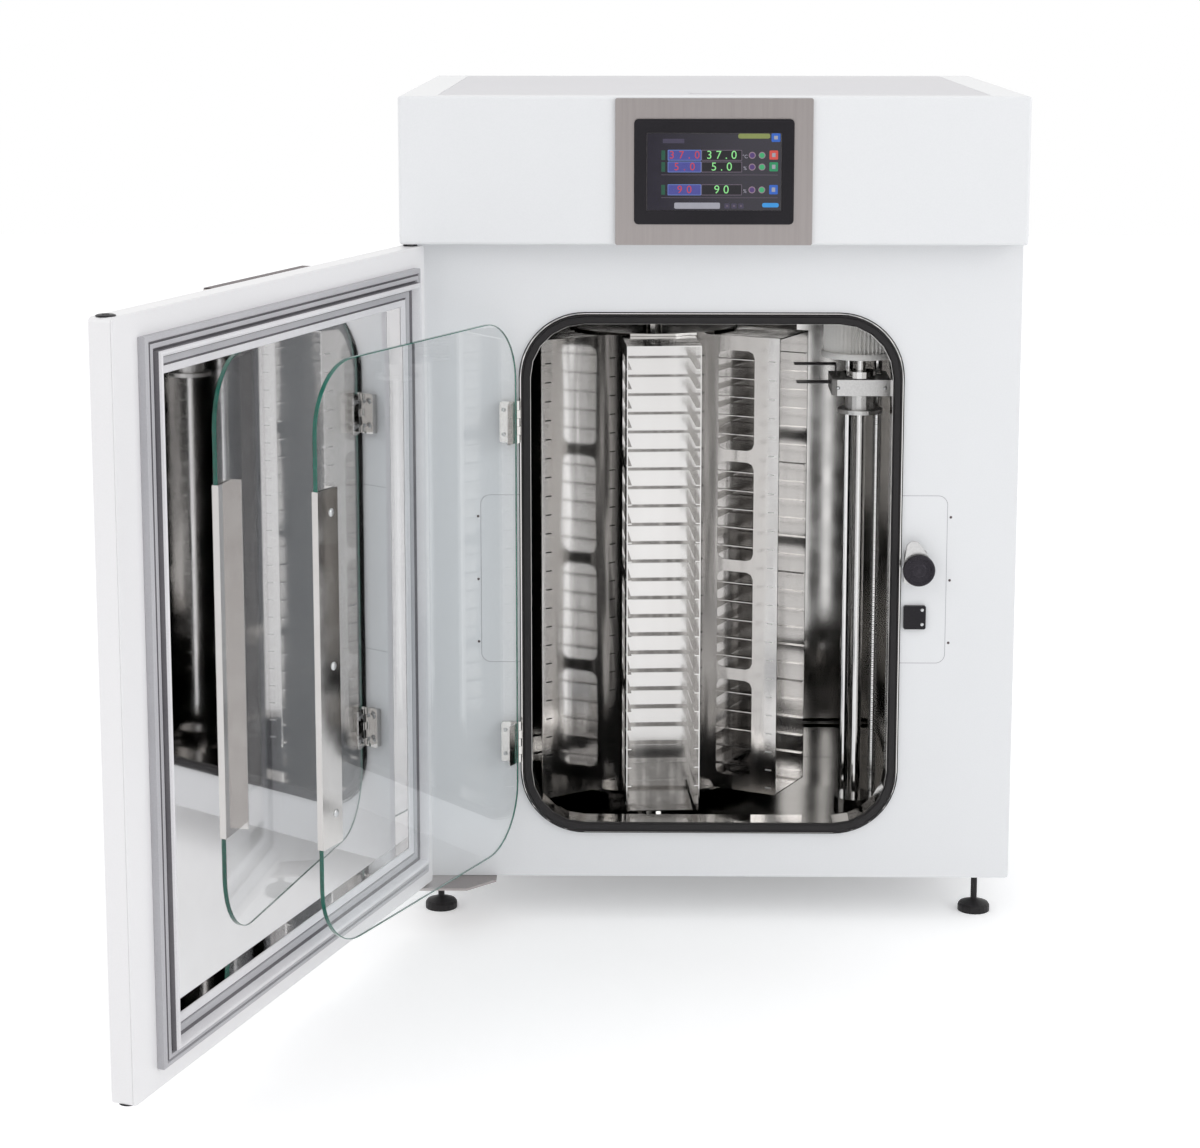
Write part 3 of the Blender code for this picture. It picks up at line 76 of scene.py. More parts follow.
lamp("lamp_left", (-2.6, -2.4, 2.3), (0.0, 0.0, 0.6), 1.8, 10.0, (1.0, 0.99, 0.98))
lamp("lamp_right", (2.8, -2.2, 1.9), (0.1, 0.0, 0.5), 1.6, 20.0, (0.98, 0.99, 1.0))
lamp("lamp_above", (0.0, -0.4, 3.2), (0.0, 0.0, 0.0), 2.4, 3.0, (1.0, 1.0, 1.0))


def node(tree, kind, values=None, **settings):
    """A new node with its settings and the plain values of its inputs."""
    made = tree.nodes.new(kind)
    for name, value in settings.items():
        setattr(made, name, value)
    for name, value in (values or {}).items():
        made.inputs[name].default_value = value
    return made


def wire(tree, *joins):
    """Join nodes: each row holds a node, its output, the next node and its input."""
    for source, output, target, entry in joins:
        tree.links.new(source.outputs[output], target.inputs[entry])


SURROUND_LEVEL = 0.885
FRONT_FADE = (-0.35, 0.05)
world = bpy.data.worlds.new("studio")
world.use_nodes = True
scene.world = world
tree = world.node_tree
tree.nodes.clear()
seen = node(tree, "ShaderNodeLightPath")
shown = node(tree, "ShaderNodeMath", operation="MAXIMUM")
wire(tree, (seen, "Is Camera Ray", shown, 0), (seen, "Is Transmission Ray", shown, 1))
# A mirror sees the studio behind the camera: a narrow bright screen each side of the middle, a tall soft
# box beyond it, a dim gap after each of them, and bright walls at the sides and behind the cabinet.
towards = node(tree, "ShaderNodeTexCoord")
split = node(tree, "ShaderNodeSeparateXYZ")
wire(tree, (towards, "Generated", split, 0))
aside = node(tree, "ShaderNodeMath", operation="ABSOLUTE")
wire(tree, (split, "X", aside, 0))
boxes = node(tree, "ShaderNodeValToRGB")
wire(tree, (aside, 0, boxes, "Fac"))
STUDIO_BANDS = ((0.00, 0.40), (0.035, 0.92), (0.090, 0.92), (0.125, 0.22), (0.17, 0.24), (0.22, 1.0),
                (0.36, 1.0), (0.44, 0.22), (0.66, 0.20), (0.78, 0.95))
for band, (place, level) in enumerate(STUDIO_BANDS):
    stop = boxes.color_ramp.elements[band] if band < 2 else boxes.color_ramp.elements.new(place)
    stop.position = place
    stop.color = (level, level, level, 1.0)
ahead = node(tree, "ShaderNodeMapRange", {"From Min": FRONT_FADE[0], "From Max": FRONT_FADE[1]})
wire(tree, (split, "Y", ahead, "Value"))
dim = node(tree, "ShaderNodeMix", {"B": 1.0})
wire(tree, (ahead, "Result", dim, "Factor"), (boxes, "Color", dim, "A"))
around = node(tree, "ShaderNodeBackground", {"Color": (0.985, 0.99, 1.0, 1.0),
                                             "Strength": SURROUND_LEVEL})
mirrored = node(tree, "ShaderNodeBackground", {"Color": (1.0, 0.995, 0.985, 1.0)})
wire(tree, (dim, "Result", mirrored, "Strength"))
white = node(tree, "ShaderNodeBackground", {"Color": (1.0, 1.0, 1.0, 1.0)})
by_mirror = node(tree, "ShaderNodeMixShader")
wire(tree, (seen, "Is Glossy Ray", by_mirror, "Fac"), (around, 0, by_mirror, 1),
           (mirrored, 0, by_mirror, 2))
final = node(tree, "ShaderNodeMixShader")
wire(tree, (shown, 0, final, "Fac"), (by_mirror, 0, final, 1), (white, 0, final, 2))
out = node(tree, "ShaderNodeOutputWorld")
wire(tree, (final, 0, out, "Surface"))

FLOOR_REACH = 9.0
FLOOR_GLOW = 0.24
floor_mesh = bpy.data.meshes.new("floor")
floor_corners = [(x * FLOOR_REACH, y * FLOOR_REACH, 0.0) for x, y in ((-1, -1), (1, -1), (1, 1), (-1, 1))]
floor_mesh.from_pydata(floor_corners, [], [(0, 1, 2, 3)])
floor = bpy.data.objects.new("floor", floor_mesh)
scene.collection.objects.link(floor)
floor_coat = bpy.data.materials.new("studio_floor")
floor_coat.use_nodes = True
tree = floor_coat.node_tree
tree.nodes.clear()
matt = node(tree, "ShaderNodeBsdfDiffuse", {"Color": (0.96, 0.96, 0.96, 1.0)})
glow = node(tree, "ShaderNodeEmission", {"Strength": FLOOR_GLOW})
both = node(tree, "ShaderNodeAddShader")
wire(tree, (matt, 0, both, 0), (glow, 0, both, 1))
seen = node(tree, "ShaderNodeLightPath")
plain = node(tree, "ShaderNodeMixShader")
glowing = node(tree, "ShaderNodeMath", operation="MAXIMUM")
wire(tree, (seen, "Is Camera Ray", glowing, 0), (seen, "Is Glossy Ray", glowing, 1),
           (glowing, 0, plain, "Fac"), (matt, 0, plain, 1), (both, 0, plain, 2))
out = node(tree, "ShaderNodeOutputMaterial")
wire(tree, (plain, 0, out, "Surface"))
floor_mesh.materials.append(floor_coat)


# The cabinet's skins: folded steel sheet in white baked enamel, which has a faint orange peel. Two thin
# cover plates beside the opening close the holes for hanging the doors the other way round.
def sockets(tree, way, *rows):
    """Named inputs or outputs on a node group: each row is a name, a kind and perhaps a value."""
    for name, kind, *value in rows:
        made = tree.interface.new_socket(name=name, in_out=way, socket_type=f"NodeSocket{kind}")
        if value:
            made.default_value = value[0]


def grain_group():
    """Two noises, one broad and one fine, which shade a colour, a roughness and the surface itself."""
    tree = bpy.data.node_groups.new("surface_grain", "ShaderNodeTree")
    sockets(tree, "INPUT", ("Stretch", "Vector", (1.0, 1.0, 1.0)), ("Turn", "Float", 0.0),
            ("Broad Scale", "Float", 4.0), ("Fine Scale", "Float", 300.0),
            ("Colour Low", "Color", (0.5, 0.5, 0.5, 1.0)), ("Colour High", "Color", (0.5, 0.5, 0.5, 1.0)),
            ("Rough Low", "Float", 0.3), ("Rough High", "Float", 0.4), ("Relief", "Float", 0.1),
            ("Depth", "Float", 0.0002))
    sockets(tree, "OUTPUT", ("Colour", "Color"), ("Roughness", "Float"), ("Normal", "Vector"))
    get = node(tree, "NodeGroupInput")
    put = node(tree, "NodeGroupOutput")
    place = node(tree, "ShaderNodeTexCoord")
    turn = node(tree, "ShaderNodeVectorRotate", rotation_type="Z_AXIS")
    wire(tree, (place, "Object", turn, "Vector"), (get, "Turn", turn, "Angle"))
    stretch = node(tree, "ShaderNodeVectorMath", operation="MULTIPLY")
    wire(tree, (turn, 0, stretch, 0), (get, "Stretch", stretch, 1))
    broad = node(tree, "ShaderNodeTexNoise", {"Detail": 4.0})
    wire(tree, (stretch, 0, broad, "Vector"), (get, "Broad Scale", broad, "Scale"))
    fine = node(tree, "ShaderNodeTexNoise", {"Detail": 2.0})
    wire(tree, (stretch, 0, fine, "Vector"), (get, "Fine Scale", fine, "Scale"))
    mixed = node(tree, "ShaderNodeMath", operation="ADD")
    wire(tree, (broad, "Fac", mixed, 0), (fine, "Fac", mixed, 1))
    spread = node(tree, "ShaderNodeMapRange", {"From Min": 0.72, "From Max": 1.28})
    wire(tree, (mixed, 0, spread, "Value"))
    colour = node(tree, "ShaderNodeMix", data_type="RGBA")
    wire(tree, (spread, "Result", colour, "Factor"), (get, "Colour Low", colour, "A"),
               (get, "Colour High", colour, "B"))
    rough = node(tree, "ShaderNodeMapRange")
    wire(tree, (spread, "Result", rough, "Value"), (get, "Rough Low", rough, "To Min"),
               (get, "Rough High", rough, "To Max"))
    bump = node(tree, "ShaderNodeBump")
    wire(tree, (fine, "Fac", bump, "Height"), (get, "Relief", bump, "Strength"),
               (get, "Depth", bump, "Distance"), (colour, "Result", put, "Colour"),
               (rough, "Result", put, "Roughness"), (bump, "Normal", put, "Normal"))
    return tree


GRAIN = grain_group()


def coat(name, low, high, rough, broad=4.0, fine=300.0, relief=0.05, depth=0.0002, stretch=(1, 1, 1),
         turn=0.0, metallic=0.0, **constants):
    """A material whose colour, roughness and relief come from the shared grain."""
    made = bpy.data.materials.new(name)
    made.use_nodes = True
    tree = made.node_tree
    shader = tree.nodes["Principled BSDF"]
    shader.inputs["Metallic"].default_value = metallic
    for socket, value in constants.items():
        shader.inputs[socket.replace("_", " ")].default_value = value
    values = {"Stretch": stretch, "Turn": turn, "Broad Scale": broad, "Fine Scale": fine,
              "Colour Low": (*low, 1.0), "Colour High": (*high, 1.0), "Rough Low": rough[0],
              "Rough High": rough[1], "Relief": relief, "Depth": depth}
    grain = node(tree, "ShaderNodeGroup", values, node_tree=GRAIN)
    wire(tree, (grain, "Colour", shader, "Base Color"), (grain, "Roughness", shader, "Roughness"),
               (grain, "Normal", shader, "Normal"))
    return made


def paint(material, *names):
    """Give CAD nodes their finished material."""
    for name in names:
        for place in nodes[name].material_slots:
            place.material = material


# Where the cabinet stands in the shared frame. The leaves of the doors are turned open about their pivots.
CABINET = Matrix.Translation((0.1176838, 0.0571762, 0.0))


def hinged(x, y, degrees):
    """Where a leaf that is hinged at x, y stands when it is turned open."""
    pivot = Matrix.Translation((x, y, 0.0))
    return CABINET @ pivot @ Matrix.Rotation(math.radians(degrees), 4, "Z") @ pivot.inverted()


OUTER_HINGE = (-0.358, -0.0315)
OUTER_OPEN = 109.0
GLASS_HINGE = (-0.2335, -0.0108)
GLASS_OPEN = 115.0
PLACES = {"outer_door": hinged(*OUTER_HINGE, -OUTER_OPEN), "glass_door": hinged(*GLASS_HINGE, -GLASS_OPEN)}


def as_mesh(bm, name):
    """A plain mesh from a drawing, its faces turned outwards."""
    bmesh.ops.recalc_face_normals(bm, faces=bm.faces)
    made = bpy.data.meshes.new(name)
    bm.to_mesh(made)
    bm.free()
    return made


def piece(name, mesh, body, slot, *materials, sharp=35.0):
    """Set a mesh that was drawn in the cabinet's coordinates in its place, and hang it on its body."""
    if isinstance(mesh, bmesh.types.BMesh):
        mesh = as_mesh(mesh, name)
    mesh.name = name
    mesh.transform(PLACES.get(body, CABINET))
    mesh.shade_smooth()
    mesh.set_sharp_from_angle(angle=math.radians(sharp))
    for material in materials:
        mesh.materials.append(material)
    made = bpy.data.objects.new(name, mesh)
    scene.collection.objects.link(made)
    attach(made, body)
    return made


def arc(cx, cz, radius, start, end, steps):
    """Points along an arc, angles in degrees."""
    turns = [math.radians(start + (end - start) * i / steps) for i in range(steps + 1)]
    return [(cx + radius * math.cos(t), cz + radius * math.sin(t)) for t in turns]


def rounded(x0, z0, x1, z1, radius, steps=6):
    """A rectangle with round corners, counter-clockwise from its lower right corner."""
    if radius <= 0.0:
        return [(x1, z0), (x1, z1), (x0, z1), (x0, z0)]
    return (arc(x1 - radius, z0 + radius, radius, -90, 0, steps)
            + arc(x1 - radius, z1 - radius, radius, 0, 90, steps)
            + arc(x0 + radius, z1 - radius, radius, 90, 180, steps)
            + arc(x0 + radius, z0 + radius, radius, 180, 270, steps))


def slab(outline, front, back, bevel=0.0, bm=None, index=0):
    """A flat plate between two y planes, its front edge broken by a bevel."""
    bm = bm or bmesh.new()
    before = set(bm.faces)
    face = bm.faces.new([bm.verts.new((x, back, z)) for x, z in outline])
    grown = bmesh.ops.extrude_face_region(bm, geom=[face], use_keep_orig=True)
    lifted = [item for item in grown["geom"] if isinstance(item, bmesh.types.BMVert)]
    bmesh.ops.translate(bm, vec=(0, front - back, 0), verts=lifted)
    if bevel:
        rim = [e for e in bm.edges if all(v in lifted for v in e.verts)]
        bmesh.ops.bevel(bm, geom=rim, offset=bevel, segments=2, profile=0.5, affect="EDGES")
    for made in set(bm.faces) - before:
        made.material_index = index
    return bm


def profiled_ring(x0, z0, x1, z1, radius, profile, steps=10, bm=None):
    """A section of (inset, y, material index) points carried round a rounded rectangle."""
    bm = bm or bmesh.new()
    loops = []
    for inset, y, _ in profile:
        corner = max(radius - inset, 0.0001) if radius > 0.0 else 0.0
        line = rounded(x0 + inset, z0 + inset, x1 - inset, z1 - inset, corner, steps)
        loops.append([bm.verts.new((x, y, z)) for x, z in line])
    count = len(loops[0])
    for k, first in enumerate(loops):
        second = loops[(k + 1) % len(loops)]
        for i in range(count):
            j = (i + 1) % count
            made = bm.faces.new((first[i], first[j], second[j], second[i]))
            made.material_index = profile[k][2]
    return bm


ENAMEL = coat("white_enamel", (0.800, 0.808, 0.822), (0.826, 0.833, 0.846), (0.30, 0.38), broad=2.5,
              fine=650.0, relief=0.035, depth=0.00015, Coat_Weight=0.25, Coat_Roughness=0.12)
paint(ENAMEL, "cabinet_shell", "front_panel", "rear_panel")
SEAM = coat("seam_shadow", (0.40, 0.39, 0.42), (0.46, 0.45, 0.48), (0.6, 0.7))
SCREW_BLACK = coat("blackened_screw", (0.095, 0.070, 0.074), (0.140, 0.108, 0.112), (0.38, 0.5),
                   fine=900.0, metallic=0.6)

COVERS = {"left": (-0.2810, -0.2190), "right": (0.2190, 0.2860)}
COVER_LOW = 0.332
COVER_HIGH = 0.539
COVER_CORNER = 0.011
COVER_FRONT = -0.00026
COVER_BACK = -0.00004
SEAM_WIDTH = 0.0007
SEAM_FRONT = -0.00012
SEAM_BACK = -0.00003
seam_section = [(0.0, SEAM_BACK, 0), (0.0, SEAM_FRONT, 0), (SEAM_WIDTH, SEAM_FRONT, 0),
                (SEAM_WIDTH, SEAM_BACK, 0)]
for side, (x0, x1) in COVERS.items():
    cover = slab(rounded(x0, COVER_LOW, x1, COVER_HIGH, COVER_CORNER), COVER_FRONT, COVER_BACK)
    piece(f"side_cover_{side}", cover, "cabinet", "white_enamel", ENAMEL)
    seam = profiled_ring(x0 - SEAM_WIDTH, COVER_LOW - SEAM_WIDTH, x1 + SEAM_WIDTH, COVER_HIGH + SEAM_WIDTH,
                         COVER_CORNER + SEAM_WIDTH, seam_section)
    piece(f"side_cover_seam_{side}", seam, "cabinet", "black_rubber", SEAM)


def turned(profile, centre, axis="Y", steps=32):
    """A turned piece: (radius, height) points spun about an axis, heights towards the front or upwards."""
    bm = bmesh.new()
    rings = []
    for radius, height in profile:
        if radius < 1e-7:
            rings.append([bm.verts.new((0, 0, height))])
            continue
        rings.append([bm.verts.new((radius * math.cos(2 * math.pi * i / steps),
                                    radius * math.sin(2 * math.pi * i / steps), height))
                      for i in range(steps)])
    for first, second in zip(rings, rings[1:]):
        for i in range(steps):
            j = (i + 1) % steps
            corners = [first[i % len(first)], first[j % len(first)],
                       second[j % len(second)], second[i % len(second)]]
            unique = list(dict.fromkeys(corners))
            if len(unique) > 2:
                bm.faces.new(unique)
    for ring in (rings[0], rings[-1]):
        if len(ring) > 1 and profile[0] != profile[-1]:
            bm.faces.new(ring)
    tilt = Matrix.Rotation(math.radians(90), 4, "X") if axis == "Y" else Matrix.Identity(4)
    bm.transform(Matrix.Translation(centre) @ tilt)
    return bm


def screw_head(radius, height, recess):
    """A pan-head screw with a hexagon recess, as a template that faces the front."""
    bm = turned([(radius, 0.0), (radius, 0.35 * height), (0.82 * radius, 0.80 * height),
                 (0.55 * radius, height), (0.0, height)], (0, 0, 0), steps=14)
    slab(arc(0, 0, recess, 0, 300, 5), -height - 0.00002, -0.9 * height, bm=bm, index=1)
    return as_mesh(bm, "screw_head")


def geometry_tree(name, *rows):
    """A Geometry Nodes tree with its named inputs, the last of them the material, and its two ends."""
    tree = bpy.data.node_groups.new(name, "GeometryNodeTree")
    sockets(tree, "INPUT", ("Geometry", "Geometry"), *rows, ("Finish", "Material"))
    sockets(tree, "OUTPUT", ("Geometry", "Geometry"))
    return tree, node(tree, "NodeGroupInput"), node(tree, "NodeGroupOutput")


def end_tree(tree, get, put, last, output):
    """End a tree: what its last node makes takes the material and is handed out."""
    finish = node(tree, "GeometryNodeSetMaterial")
    wire(tree, (last, output, finish, "Geometry"), (get, "Finish", finish, "Material"),
               (finish, "Geometry", put, "Geometry"))
    return tree


def repeat_tree():
    """A Geometry Nodes tree that sets a shape at every point of a mesh and bakes the copies into one."""
    tree, get, put = geometry_tree("set_at_points", ("Shape", "Object"),
                                   ("Turn", "Vector", (0.0, 0.0, 0.0)), ("Size", "Float", 1.0))
    shape = node(tree, "GeometryNodeObjectInfo")
    copies = node(tree, "GeometryNodeInstanceOnPoints")
    real = node(tree, "GeometryNodeRealizeInstances")
    wire(tree, (get, "Shape", shape, "Object"), (get, "Geometry", copies, "Points"),
               (shape, "Geometry", copies, "Instance"), (get, "Turn", copies, "Rotation"),
               (get, "Size", copies, "Scale"), (copies, "Instances", real, "Geometry"))
    return end_tree(tree, get, put, real, "Geometry")


REPEAT = repeat_tree()


def run_tree(tree, base, **values):
    """Run a Geometry Nodes tree on a mesh and hand back the plain mesh that it makes."""
    host = bpy.data.objects.new("host", base)
    scene.collection.objects.link(host)
    step = host.modifiers.new("made", "NODES")
    step.node_group = tree
    entries = {item.name: item.identifier for item in tree.interface.items_tree if item.in_out == "INPUT"}
    for name, value in values.items():
        step[entries[name]] = value
    bpy.context.view_layer.update()
    made = bpy.data.meshes.new_from_object(host.evaluated_get(bpy.context.evaluated_depsgraph_get()))
    bpy.data.objects.remove(host, do_unlink=True)
    return made


def repeated(name, template, points, body, slot, material, turn=(0.0, 0.0, 0.0)):
    """One template set at a list of points, made by the tree, as one piece on its body."""
    shape = bpy.data.objects.new("template", template)
    scene.collection.objects.link(shape)
    base = bpy.data.meshes.new("points")
    base.from_pydata([tuple(p) for p in points], [], [])
    made = run_tree(REPEAT, base, Shape=shape, Turn=turn, Finish=material)
    bpy.data.objects.remove(shape, do_unlink=True)
    return piece(name, made, body, slot)


SCREW_COLUMNS = (-0.2846, 0.2905)
SCREW_HEIGHTS = (0.513, 0.435, 0.357)
cover_screws = [(x, 0.0, z) for x in SCREW_COLUMNS for z in SCREW_HEIGHTS]
repeated("side_cover_screws", screw_head(0.0016, 0.0007, 0.0007), cover_screws, "cabinet", "black_plastic",
         SCREW_BLACK)


# The wool between skins and chamber, and the green circuit board behind the screen: both are hidden
# inside the cabinet, and are finished all the same.
WOOL = coat("foam", (0.60, 0.52, 0.33), (0.78, 0.70, 0.50), (0.8, 0.95), broad=20.0, fine=220.0,
            relief=0.6, depth=0.001)
BOARD = coat("circuit_board", (0.010, 0.085, 0.040), (0.020, 0.140, 0.065), (0.30, 0.45), broad=30.0,
             fine=500.0, relief=0.2)
paint(WOOL, "insulation", "outer_door_foam")
paint(BOARD, "controller_board")


# The chamber: one liner of mirror-polished stainless steel, with a narrow bright flange round its
# opening and a ring of black rubber for the glass door to shut on.
MIRROR = coat("polished_steel", (0.655, 0.640, 0.622), (0.715, 0.703, 0.688), (0.050, 0.115), broad=2.2,
              fine=26.0, relief=0.05, depth=0.0008, metallic=1.0)
RUBBER = coat("black_rubber", (0.011, 0.010, 0.011), (0.022, 0.020, 0.021), (0.40, 0.54), broad=14.0,
              fine=900.0, relief=0.16, depth=0.0002, Specular_IOR_Level=0.30)
paint(MIRROR, "chamber_liner", "opening_trim")
paint(RUBBER, "chamber_gasket")

# A raised bead runs round the rubber and catches the light, and a thin black ring lies round the flange's
# outer edge.
BEAD_SECTION = [(0.0, -0.0058, 0), (0.0012, -0.0066, 0), (0.0024, -0.0058, 0)]
BEAD_BOX = (-0.2290, 0.1175, 0.2290, 0.7595)
bead = profiled_ring(*BEAD_BOX, 0.0765, BEAD_SECTION, steps=12)
piece("chamber_gasket_bead", bead, "cabinet", "black_rubber", RUBBER)
FLANGE_RING_SECTION = [(0.0, -0.00006, 0), (0.0, -0.0009, 0), (0.0003, -0.0012, 0), (0.0009, -0.0012, 0),
                (0.0011, -0.0009, 0), (0.0011, -0.00006, 0)]
FLANGE_RING_BOX = (-0.2317, 0.1148, 0.2317, 0.7622)
flange_ring = profiled_ring(*FLANGE_RING_BOX, 0.0792, FLANGE_RING_SECTION, steps=14)
piece("opening_trim_seal", flange_ring, "cabinet", "black_rubber", RUBBER)


# The feet: black rubber cups on threaded stems, each with a hexagon lock nut run up against a bright
# washer under the cabinet.
paint(RUBBER, "foot_front_left", "foot_front_right", "foot_rear_left", "foot_rear_right")
ZINC = coat("zinc_plate", (0.50, 0.51, 0.52), (0.66, 0.67, 0.68), (0.22, 0.36), broad=60.0, fine=800.0,
            relief=0.12, metallic=1.0)
FOOT_PLACES = [(x, y, 0.0) for x in (-0.335, 0.335) for y in (0.052, 0.533)]
STEM_RADIUS = 0.0043
NUT_RADIUS = 0.00785
NUT_TIP = NUT_RADIUS * 0.86
NUT_LOW = 0.0440
NUT_HIGH = 0.0555
NUT_CHAMFER = 0.0012
WASHER_INNER = 0.0046
WASHER_RADIUS = 0.0120
WASHER_LOW = 0.0557
WASHER_HIGH = 0.0578
nut = turned([(NUT_TIP, NUT_LOW), (NUT_RADIUS, NUT_LOW + NUT_CHAMFER), (NUT_RADIUS, NUT_HIGH - NUT_CHAMFER),
              (NUT_TIP, NUT_HIGH), (STEM_RADIUS, NUT_HIGH), (STEM_RADIUS, NUT_LOW), (NUT_TIP, NUT_LOW)],
             (0, 0, 0), "Z", steps=6)
repeated("foot_nuts", as_mesh(nut, "nut"), FOOT_PLACES, "cabinet", "brushed_steel", ZINC)
washer = turned([(WASHER_INNER, WASHER_LOW), (WASHER_RADIUS, WASHER_LOW), (WASHER_RADIUS, WASHER_HIGH),
                 (WASHER_INNER, WASHER_HIGH), (WASHER_INNER, WASHER_LOW)], (0, 0, 0), "Z", steps=28)
repeated("foot_washers", as_mesh(washer, "washer"), FOOT_PLACES, "cabinet", "brushed_steel", ZINC)


# The control head: a folded enamelled housing with a pale moulded lid, and on its front a brushed
# stainless plate that carries the touch screen in a thin black bezel.
# The lid is a greyer copy of the head's enamel: partly its own tone, partly painted shade on its upward
# face.
LID_TONE_AND_SHADE = coat("lid_enamel_and_painted_shade", (0.655, 0.647, 0.670), (0.688, 0.681, 0.704), (0.34, 0.44), broad=3.0, fine=700.0,
           relief=0.05)
BRUSHED = coat("brushed_steel", (0.390, 0.357, 0.351), (0.428, 0.393, 0.387), (0.29, 0.35), broad=4.0,
               fine=60.0, relief=0.03, depth=0.0002, stretch=(70.0, 70.0, 0.8), metallic=1.0)
BLACK = coat("black_plastic", (0.009, 0.008, 0.011), (0.017, 0.015, 0.019), (0.30, 0.42), broad=10.0,
             fine=900.0, relief=0.08, Specular_IOR_Level=0.22)
SCREEN = coat("screen_glass", (0.0065, 0.0040, 0.0150), (0.0080, 0.0052, 0.0180), (0.05, 0.09), broad=6.0,
              fine=60.0, relief=0.01, Coat_Weight=0.6, Coat_Roughness=0.03)
paint(ENAMEL, "head_housing")
paint(LID_TONE_AND_SHADE, "head_top_cover")
paint(BRUSHED, "display_plate", "outer_door_band")
paint(BLACK, "display_bezel")
paint(SCREEN, "touch_screen")

RIM_BOX = (-0.0929, 0.8730, 0.0929, 0.9940)
RIM_BACK = -0.0513
RIM_FRONT = -0.05145
rim_section = [(0.0, RIM_BACK, 0), (0.0004, RIM_FRONT, 0), (0.0014, RIM_FRONT, 0), (0.0018, RIM_BACK, 0)]
rim = profiled_ring(*RIM_BOX, 0.0034, rim_section)
piece("display_bezel_rim", rim, "cabinet", "black_plastic", BLACK)


def lit(name, colour, strength=0.8, rough=0.25):
    """A lit element of the screen, a shade uneven from one place to the next."""
    made = coat(name, tuple(0.12 * c for c in colour), tuple(0.18 * c for c in colour),
                (rough, rough + 0.1), broad=90.0, fine=1500.0, relief=0.02)
    tree = made.node_tree
    shader = tree.nodes["Principled BSDF"]
    shader.inputs["Emission Strength"].default_value = strength
    place = node(tree, "ShaderNodeTexCoord")
    patch = node(tree, "ShaderNodeTexNoise", {"Scale": 160.0})
    shade = node(tree, "ShaderNodeMix", {"A": (*(0.88 * c for c in colour), 1.0), "B": (*colour, 1.0)},
                 data_type="RGBA")
    wire(tree, (place, "Object", patch, "Vector"), (patch, "Fac", shade, "Factor"),
               (shade, "Result", shader, "Emission Color"))
    return made


# What the screen shows is drawn in the columns and rows of a fine grid, hung from the screen's corner.
DRAWING_CORNER = (282.24, 319.872)
DRAWING_UNIT = (0.0012314 / 7.84, 0.0012605 / 7.84)
SCREEN_CORNER = (-0.0785, 0.9785)


def on_screen(u, v):
    """Cabinet x and z of a place on the screen, from its column and row in the screen's drawing."""
    return (SCREEN_CORNER[0] + (u - DRAWING_CORNER[0]) * DRAWING_UNIT[0],
            SCREEN_CORNER[1] - (v - DRAWING_CORNER[1]) * DRAWING_UNIT[1])


SCREEN_FRONT = -0.0503
LEVEL_STEP = 0.00012
FILM = 0.00009
LEVELS = [SCREEN_FRONT - LEVEL_STEP * k for k in range(1, 4)]


def field(bm, u0, v0, u1, v1, radius=0.0007, level=0, index=0):
    """A thin lit field between two corners, on one of the drawing's levels."""
    x0, z1 = on_screen(u0, v0)
    x1, z0 = on_screen(u1, v1)
    return slab(rounded(x0, z0, x1, z1, radius, 3), LEVELS[level], LEVELS[level] + FILM, bm=bm, index=index)


def disc(bm, u, v, radius, level=0, index=0):
    """A thin round lamp."""
    x, z = on_screen(u, v)
    return slab(arc(x, z, radius, 0, 345, 23), LEVELS[level], LEVELS[level] + FILM, bm=bm, index=index)


# The fields: a head line, three rows with a set value, a measured value, two lamps and a button, and a
# foot line.
SCREEN_COLOURS = {
    "olive": (0.28, 0.33, 0.10), "blue": (0.030, 0.145, 0.62), "violet": (0.075, 0.080, 0.36),
    "frame_blue": (0.16, 0.24, 0.60), "frame_grey": (0.155, 0.120, 0.165), "black": (0.004, 0.003, 0.008),
    "dark_green": (0.010, 0.100, 0.055), "lamp_green": (0.060, 0.47, 0.19),
    "lamp_violet": (0.10, 0.050, 0.20), "lamp_ring": (0.36, 0.25, 0.33), "red": (0.76, 0.090, 0.070),
    "green": (0.022, 0.32, 0.135), "pale": (0.42, 0.42, 0.48), "icon": (0.060, 0.050, 0.095),
    "bright_blue": (0.045, 0.36, 0.86)}
FIELD_GLOW = 0.68
palette = [lit(f"screen_{name}", colour, FIELD_GLOW) for name, colour in SCREEN_COLOURS.items()]
hue = {name: k for k, name in enumerate(SCREEN_COLOURS)}
drawing = bmesh.new()
field(drawing, 960, 322, 1197, 358, 0.0022, 0, hue["olive"])
field(drawing, 1207, 320, 1273, 382, 0.0012, 0, hue["blue"])
field(drawing, 1226, 338, 1254, 364, 0.0004, 1, hue["pale"])
ROWS = ((440, 518, "red"), (525, 603, "green"), (690, 770, "blue"))
for top, bottom, button in ROWS:
    middle = (top + bottom) / 2
    field(drawing, 390, top + 4, 418, bottom - 4, 0.0004, 0, hue["dark_green"])
    field(drawing, 437, top, 687, bottom, 0.0009, 0, hue["frame_blue"])
    field(drawing, 442, top + 5, 682, bottom - 5, 0.0007, 1, hue["violet"])
    field(drawing, 687, top, 990, bottom, 0.0009, 0, hue["frame_grey"])
    field(drawing, 692, top + 5, 985, bottom - 5, 0.0007, 1, hue["black"])
    disc(drawing, 1065, middle, 0.0040, 0, hue["lamp_ring"])
    disc(drawing, 1065, middle, 0.0030, 1, hue["lamp_violet"])
    disc(drawing, 1138, middle, 0.0040, 0, hue["lamp_ring"])
    disc(drawing, 1138, middle, 0.0031, 1, hue["lamp_green"])
    field(drawing, 1193, top + 4, 1257, bottom - 8, 0.0011, 0, hue[button])
    field(drawing, 1212, top + 22, 1238, bottom - 26, 0.0004, 1, hue["pale"])
field(drawing, 390, 620, 1257, 623, 0.0001, 0, hue["frame_grey"])
field(drawing, 390, 786, 1257, 789, 0.0001, 0, hue["frame_grey"])
